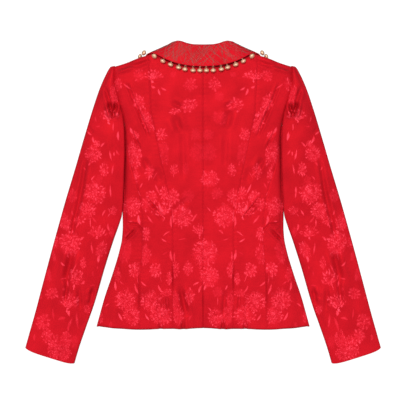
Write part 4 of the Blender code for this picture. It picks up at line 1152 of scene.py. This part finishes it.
def figured_brocade(tree, place, ground_hex, figure_hex, painted_highlight_hex):
    """Satin brocade, jacquard woven in one colour.

    The warp-faced satin ground shines and looks deep red, and the figure is woven weft-faced, so
    it looks lighter, pinker and drier. Where the figure is strongest its colour is mixed on towards
    light pink, a painted highlight that stands in for sheen along the petals. The threads are
    0.25 mm apart, too fine to show, so the weave is drawn four times as coarse.
    """
    noise = add(tree, "TexNoise", {"Vector": place, "Scale": 1 / (9 * MM), "Detail": 3.0, "Roughness": 0.6})
    centred = add(tree, "VectorMath", (noise.outputs["Color"], (0.5, 0.5, 0.5)), "SUBTRACT")
    wobble = add(tree, "VectorMath", {0: centred, "Scale": WOBBLE}, "SCALE")
    flat_wobble = add(tree, "VectorMath", (wobble, (1, 1, 0)), "MULTIPLY")
    figure = woven_figure(tree, flat_wobble, curled_lines(tree, place))
    floats = add(tree, "TexNoise", {"Vector": place, "Scale": 1 / (9 * MM), "Detail": 3.0})
    broken = add(tree, "MapRange", (floats, 0.3, 0.7, 0.7, 1.2))
    figure_shown = add(tree, "Math", (figure, broken), "MULTIPLY", use_clamp=True)

    patches = add(tree, "TexNoise", {"Vector": place, "Scale": 1 / (42 * MM), "Detail": 3.0})
    tone = add(tree, "MapRange", (patches, 0.3, 0.7, 0.86, 1.1))
    stretched = add(tree, "VectorMath", (place, (0.12, 1, 1)), "MULTIPLY")
    threads = add(tree, "TexNoise", {"Vector": stretched, "Scale": 1 / (1.1 * MM), "Detail": 2.0})
    streaks = add(tree, "MapRange", (threads, 0.3, 0.7, 0.96, 1.04))
    tone = add(tree, "Math", (tone, streaks), "MULTIPLY")
    toned = {0: 1.0, 6: linear(ground_hex), 7: tone}
    colour = add(tree, "Mix", toned, data_type="RGBA", blend_type="MULTIPLY")
    # Painted highlight: the strongest parts of the figure go on towards light pink, standing in for sheen.
    painted_highlight_share = add(tree, "MapRange", (figure_shown, 0.4, 1.0))
    for share, hex_colour in ((figure_shown, figure_hex), (painted_highlight_share, painted_highlight_hex)):
        colour = add(tree, "Mix", {0: share, 6: colour.outputs[2], 7: linear(hex_colour)}, data_type="RGBA")

    # The texture's diagonal bands lie about 1 mm apart at this scale.
    weave = add(tree, "TexWave", {"Vector": place, "Scale": 0.5 / MM, "Distortion": 1.5},
                wave_type="BANDS", bands_direction="DIAGONAL")
    relief = add(tree, "Math", (figure, 0.6), "MULTIPLY")
    relief = add(tree, "Math", (weave, 0.16, relief), "MULTIPLY_ADD")
    return {
        "Base Color": colour.outputs[2],
        "Roughness": add(tree, "MapRange", {0: figure_shown, 3: 0.4, 4: 0.58}),
        "Normal": add(tree, "Bump", {"Strength": 0.35, "Distance": 0.25 * MM, "Height": relief}),
        "Specular IOR Level": 0.3,
        "Specular Tint": linear("ff2828"),
        "Sheen Weight": 0.03,
        "Sheen Roughness": 0.4,
        "Sheen Tint": linear("ff3c3c"),
    }


def gilt_metal(tree, place):
    """Brass beads with a satin gilt lacquer: light warm gold with broad soft highlights."""
    scuffs = add(tree, "TexNoise", {"Vector": place, "Scale": 1 / (1.4 * MM), "Detail": 4.0})
    tone = add(tree, "Mix", {0: scuffs, 6: linear("f2c8a6"), 7: linear("d8a482")}, data_type="RGBA")
    dents = add(tree, "TexNoise", {"Vector": place, "Scale": 1 / (3 * MM), "Detail": 1.0})
    return {
        "Base Color": tone.outputs[2],
        "Metallic": 0.6,
        "Roughness": add(tree, "MapRange", (scuffs, 0.3, 0.7, 0.4, 0.56)),
        "Normal": add(tree, "Bump", {"Strength": 0.25, "Distance": 0.3 * MM, "Height": dents}),
    }


def gold_thread(tree, place):
    """Metallised embroidery thread, twisted: dull gold that sparkles only along its turns."""
    twist_and_painted_shade = add(tree, "TexNoise", {"Vector": place, "Scale": 1 / (0.8 * MM), "Detail": 2.0})
    # Partly painted shade: the darker tone stands in for the threads' shadows; the rest is their own uneven
    # tone.
    tone = add(tree, "Mix", {0: twist_and_painted_shade, 6: linear("6e463e"), 7: linear("946a62")}, data_type="RGBA")
    return {
        "Base Color": tone.outputs[2],
        "Metallic": 0.35,
        "Roughness": 0.5,
        "Normal": add(tree, "Bump", {"Strength": 0.4, "Distance": 0.1 * MM, "Height": twist_and_painted_shade}),
    }


def lit_floor(tree, place):
    """Smoked glass of a light table, lit evenly from below so that it shows no shadows."""
    grain = add(tree, "TexNoise", {"Vector": place, "Scale": 1 / (2 * MM), "Detail": 2.0})
    return {
        "Base Color": add(tree, "MapRange", {0: grain, 3: 0.08, 4: 0.12}),
        "Roughness": 0.9,
        "Specular IOR Level": 0.1,
        "Emission Color": (1, 1, 1, 1),
        "Emission Strength": FLOOR_LIGHT,
    }


def declare(piece, nodes):
    """Says that a piece rides on the one body and stands for its nodes."""
    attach(piece, "root")
    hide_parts(*nodes)


def lathe(profile, steps):
    """Points and faces of a profile of radius and height turned round Z, closed at both ends."""
    points, faces = [], []
    for radius, height in profile[1:-1]:
        for k in range(steps):
            points.append((radius * cos(2 * pi * k / steps), radius * sin(2 * pi * k / steps), height))
    rings = len(profile) - 2
    for r in range(rings - 1):
        for k in range(steps):
            a, b = r * steps + k, r * steps + (k + 1) % steps
            faces.append((a, a + steps, b + steps, b))
    first, last = len(points), len(points) + 1
    points += [(0, 0, profile[0][1]), (0, 0, profile[-1][1])]
    for k in range(steps):
        faces.append((first, k, (k + 1) % steps))
        base = (rings - 1) * steps
        faces.append((last, base + (k + 1) % steps, base + k))
    return points, faces


def ring(radius, wire, lift, steps=20, sides=8):
    """Points and faces of a long loop of wire that stands in the XZ plane."""
    points, faces = [], []
    for k in range(steps):
        turn = 2 * pi * k / steps
        for j in range(sides):
            round_wire = 2 * pi * j / sides
            reach = radius + wire * cos(round_wire)
            points.append((LOOP_SHARE * reach * cos(turn), wire * sin(round_wire), lift + reach * sin(turn)))
    for k in range(steps):
        for j in range(sides):
            a, b = k * sides + j, k * sides + (j + 1) % sides
            c, d = (k + 1) % steps * sides + (j + 1) % sides, (k + 1) % steps * sides + j
            faces.append((a, d, c, b))
    return points, faces


def gold_ball(name, node, centre, hook, material):
    """A gilt ball with a cap and a loop of wire that hangs from the collar's edge."""
    toward = Vector(hook - centre)
    tall = BALL_RADIUS * BALL_FLATNESS
    cap_top = tall + CAP_RISE
    loop = (toward.length - cap_top) / 2 + LOOP_SUNK
    top, shoulder, foot = CAP_RADII
    profile = [(0, cap_top), (top, cap_top), (shoulder, cap_top - CAP_BEVEL)]
    profile += [(foot, tall * cos(radians(CAP_TURN)))]
    arc = [radians(turn) for turn in range(24, 180, 12)]
    profile += [(BALL_RADIUS * sin(turn), tall * cos(turn)) for turn in arc] + [(0, -tall)]
    points, faces = lathe(profile, BALL_SIDES)
    wire_points, wire_faces = ring(loop, WIRE_RADIUS, cap_top + loop - LOOP_SUNK)
    faces += [tuple(k + len(points) for k in face) for face in wire_faces]
    points += wire_points
    turned = toward.to_track_quat("Z", "Y").to_matrix()
    points = np.array(points) @ np.array(turned).T + centre
    declare(mesh_object(name, points, faces, material), [node])


def sampled(field, row, column):
    """The value of a grid at fractional rows and columns."""
    i = np.clip(np.floor(row).astype(int), 0, field.shape[0] - 2)
    j = np.clip(np.floor(column).astype(int), 0, field.shape[1] - 2)
    a, b = (row - i)[:, None], (column - j)[:, None]
    return (
        field[i, j] * (1 - a) * (1 - b) + field[i + 1, j] * a * (1 - b)
        + field[i, j + 1] * (1 - a) * b + field[i + 1, j + 1] * a * b
    )


def cut_short(ends, width):
    """A thread's two ends, moved along it so that they stay on the collar's fall."""
    across = ends[:, 1]
    share = (np.clip(across, THREAD_MARGIN, width - THREAD_MARGIN) - across[0]) / (across[1] - across[0])
    return ends[0] + (ends[1] - ends[0]) * share[:, None]


def thread_ends(length, width):
    """The ends of the web's straight threads, as places along and across the collar's fall.

    Long threads slant both ways from one edge to the other, and short ones fill the patches.
    """
    rng = np.random.default_rng(STITCH_SEED)
    ends = []
    for foot in np.arange(WEB_STEP, length, WEB_STEP):
        for way in (-1, 1):
            start = foot + rng.uniform(-FOOT_SHIFT, FOOT_SHIFT)
            slant = way * rng.uniform(*WEB_SLANT)
            low, high = rng.uniform(*THREAD_LOW), rng.uniform(*THREAD_HIGH)
            ends.append((start + slant * low, width * low, start + slant * high, width * high))
    for _ in range(SHORT_THREADS):
        middle = rng.uniform((0, 0), (length, width))
        angle = radians(rng.choice((-1, 1)) * rng.uniform(*SHORT_TURN))
        half = rng.uniform(*SHORT_HALF) * np.array([cos(angle), sin(angle)])
        ends.append((*(middle - half), *(middle + half)))
    kept = []
    for k, row in enumerate(ends):
        sparse = SPARSE[0] < abs(row[0] / length - 0.5) < SPARSE[1]
        if END_MARGIN < row[0] < length - END_MARGIN and (k % 2 or not sparse):
            kept.append(cut_short(np.array(row).reshape(2, 2), width))
    return kept


def collar_web(fall, normal, material):
    """The web of straight gold threads that covers the collar's fall, each laid in one stitch."""
    rows, columns = fall.shape[:2]
    length = np.linalg.norm(np.diff(fall[:, columns // 2], axis=0), axis=1).sum()
    width = np.linalg.norm(np.diff(fall[rows // 2], axis=0), axis=1).sum()
    sides = THREAD_SIDES
    points, faces = [], []
    for start, end in thread_ends(length, width):
        steps = max(4, int(np.linalg.norm(end - start) / THREAD_PIECE))
        along = np.linspace(0, 1, steps + 1)[:, None]
        place = start + (end - start) * along
        row, column = place[:, 0] / length * (rows - 1), place[:, 1] / width * (columns - 1)
        spot, out = sampled(fall, row, column), sampled(normal, row, column)
        lift = np.full((steps + 1, 1), THREAD_LIFT)
        lift[[0, -1]] = -THREAD_SUNK
        spot = spot + out * lift
        beside = np.cross(np.gradient(spot, axis=0), out)
        beside /= np.linalg.norm(beside, axis=1, keepdims=True)
        base = len(points)
        for k in range(steps + 1):
            for turn in range(sides):
                round_thread = beside[k] * cos(turn * 2 * pi / sides) + out[k] * sin(turn * 2 * pi / sides)
                points.append(spot[k] + round_thread * THREAD_RADIUS)
        for k in range(steps):
            for turn in range(sides):
                a, b = base + sides * k + turn, base + sides * k + (turn + 1) % sides
                faces.append((a, b, b + sides, a + sides))
        last = base + sides * steps
        faces.append(tuple(base + k for k in range(sides - 1, -1, -1)))
        faces.append(tuple(last + k for k in range(sides)))
    obj = mesh_object("collar_gold_threads", points, faces, material)
    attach(obj, "root")


def declare_cloth(piece, nodes):
    """Declares a piece of cloth."""
    declare(piece, nodes)


def spread(pattern):
    """The pattern's places with those of the turned-in columns added."""
    count = len(TURN_STEPS)
    return np.concatenate([pattern[:, :1]] * count + [pattern] + [pattern[:, -1:]] * count, axis=1)


def body_panels(side_name, side, brocade):
    """One half of the body: two panels of the back, the side and the front."""
    half_gap = SEAM_GAP / 2

    def centre_seam(up):
        return half_gap + 0 * up

    def princess(up):
        return line(PRINCESS_SEAM, up)

    def side_back_edge(up):
        return np.where(up > SIDE_TOP, line(ARMHOLE, up), line(SIDE_SEAM, up))

    center = back_panel(side, centre_seam, lambda up: princess(up) - half_gap, CENTER_COLUMNS)
    side_back = back_panel(side, lambda up: princess(up) + half_gap, side_back_edge, SIDE_BACK_COLUMNS)
    seam = side_back[SHOULDER_ROWS:, -1]
    side_piece = side_panel(side, seam[seam[:, 1] < SIDE_TOP])
    for kind, surface, motifs in (
        ("back_center", center, CENTER_MOTIFS),
        ("back_side", side_back, SIDE_BACK_MOTIFS),
        ("side", side_piece, SIDE_MOTIFS),
    ):
        at_armhole = ramp(surface[:, -1, 1], SIDE_TOP - ARMHOLE_SOFT, SIDE_TOP + ARMHOLE_SOFT)
        allowance = ARMHOLE_ALLOWANCE * at_armhole * (kind == "back_side")
        whole = turned_in(surface, 1, last=SIDE_TURN if kind == "side" else 1.0, allowance=allowance)
        node = f"{kind}_{side_name}"
        piece = cloth(f"{node}_brocade", whole, spread(surface[..., :2]), motifs, brocade, side, 1)
        declare_cloth(piece, [node])
    surface = front_panel(side)
    moved = [
        row._replace(side=0, up=row.up + HIDDEN_SHIFT)
        for row in CENTER_MOTIFS + SIDE_BACK_MOTIFS + SIDE_MOTIFS if row.side in (0, side)
    ]
    piece = cloth(f"front_{side_name}_brocade", surface, surface[..., :2], moved, brocade, side, -1)
    declare_cloth(piece, [f"front_{side_name}"])


def hidden_sleeve_motifs():
    """Figures for the under layer of the sleeve: those of the upper one, mirrored over the outer fold."""
    first, last = SLEEVE_ROWS[SLEEVE_START], SLEEVE_ROWS[-1]
    start = np.array([first.outer_out, first.outer_up])
    along = (last.outer_out, last.outer_up) - start
    along /= np.linalg.norm(along)
    moved = []
    for row in SLEEVE_MOTIFS:
        offset = (row.out, row.up) - start
        down = offset @ along
        place = start + along * (down + HIDDEN_SHIFT) - (offset - along * down)
        moved.append(row._replace(out=place[0], up=place[1], tilt=2 * SLEEVE_TILT - row.tilt))
    return tuple(moved)


def make_sleeve(side_name, side, brocade):
    """One sleeve, with its figures on both layers."""
    surface, pattern, closed = sleeve(side)
    whole = turned_in(surface, -1, closed, closed)
    motifs = SLEEVE_MOTIFS + hidden_sleeve_motifs()
    piece = cloth(f"sleeve_{side_name}_brocade", whole, spread(pattern), motifs, brocade, side, -1)
    declare_cloth(piece, [f"sleeve_{side_name}"])


def make_collar(brocade, thread):
    """The collar and the web of threads on its fall and on the outer part of its roll."""
    surface = both_halves(collar_half())
    half = COLLAR_CLOTH / 2
    piece = cloth("collar_brocade_fall", surface, surface[..., :2], (), brocade, 1, -1, COLLAR_CLOTH, half)
    declare_cloth(piece, ["collar"])
    covered = slice(-FALL_COLUMNS - WEB_ON_ROLL, None)
    normal = normals(surface, -1)[:, covered]
    collar_web(surface[:, covered] + normal * half, normal, thread)


def make_camera():
    """A camera straight above the jacket."""
    data = bpy.data.cameras.new("camera")
    data.sensor_width = SENSOR
    data.lens = SENSOR * CAMERA_DISTANCE / FRAME_WIDTH
    data.clip_end = 20
    camera = bpy.data.objects.new("camera", data)
    camera.location = Vector((*FRAME_MIDDLE, CLOTH_TOP + CAMERA_DISTANCE)) * MM
    bpy.context.scene.collection.objects.link(camera)
    bpy.context.scene.camera = camera


def make_light():
    """A soft box overhead with one lamp in it, in a studio that is dimmer towards the floor."""
    world = bpy.data.worlds.new("studio")
    bpy.context.scene.world = world
    world.use_nodes = True
    tree = world.node_tree
    upward = add(tree, "SeparateXYZ", (add(tree, "TexCoord").outputs["Generated"],)).outputs["Z"]
    rise = (upward, *DOME_RISE, DOME_LOW, DOME_HIGH)
    strength = add(tree, "MapRange", rise, interpolation_type="SMOOTHSTEP")
    tree.links.new(strength.outputs[0], tree.nodes["Background"].inputs["Strength"])
    tree.nodes["Background"].inputs["Color"].default_value = (1, 1, 1, 1)
    data = bpy.data.lights.new("softbox", "SUN")
    data.energy = SUN_LIGHT
    data.angle = radians(SUN_SOFTNESS)
    lamp = bpy.data.objects.new("softbox", data)
    lamp.rotation_euler = Vector(SUN_FROM).to_track_quat("Z", "Y").to_euler()
    bpy.context.scene.collection.objects.link(lamp)
    bpy.context.scene.view_settings.view_transform = "Standard"


def make_floor():
    """The light table under the jacket. It shows, but throws no light on the cloth."""
    h = FLOOR_HALF
    points = [(-h, -h, -FLOOR_BELOW), (h, -h, -FLOOR_BELOW), (h, h, -FLOOR_BELOW), (-h, h, -FLOOR_BELOW)]
    floor = mesh_object("floor", points, [(0, 1, 2, 3)], finish("light_table_glass", lit_floor))
    floor.visible_diffuse = False
    floor.visible_glossy = False


def main():
    """Makes the camera and the light, then every piece of the jacket."""
    make_camera()
    make_light()
    make_floor()
    # The last colour of each brocade is its painted highlight.
    brocade = finish("satin_brocade", figured_brocade, "b61420", "e4273a", "f0485c")
    collar_brocade = finish("stiffened_satin_brocade", figured_brocade, "b81421", "d82636", "dc2c3c")
    gilt = finish("gilded_brass", gilt_metal)
    thread = finish("metallised_thread", gold_thread)
    for side_name, side in SIDES:
        body_panels(side_name, side, brocade)
        make_sleeve(side_name, side, brocade)
        for k, (centre, hook) in enumerate(ball_places()):
            node = f"ball_{side_name}_{k + 1:02d}"
            gold_ball(f"gold_{node}", node, centre * (side, 1, 1), hook * (side, 1, 1), gilt)
    make_collar(collar_brocade, thread)


main()
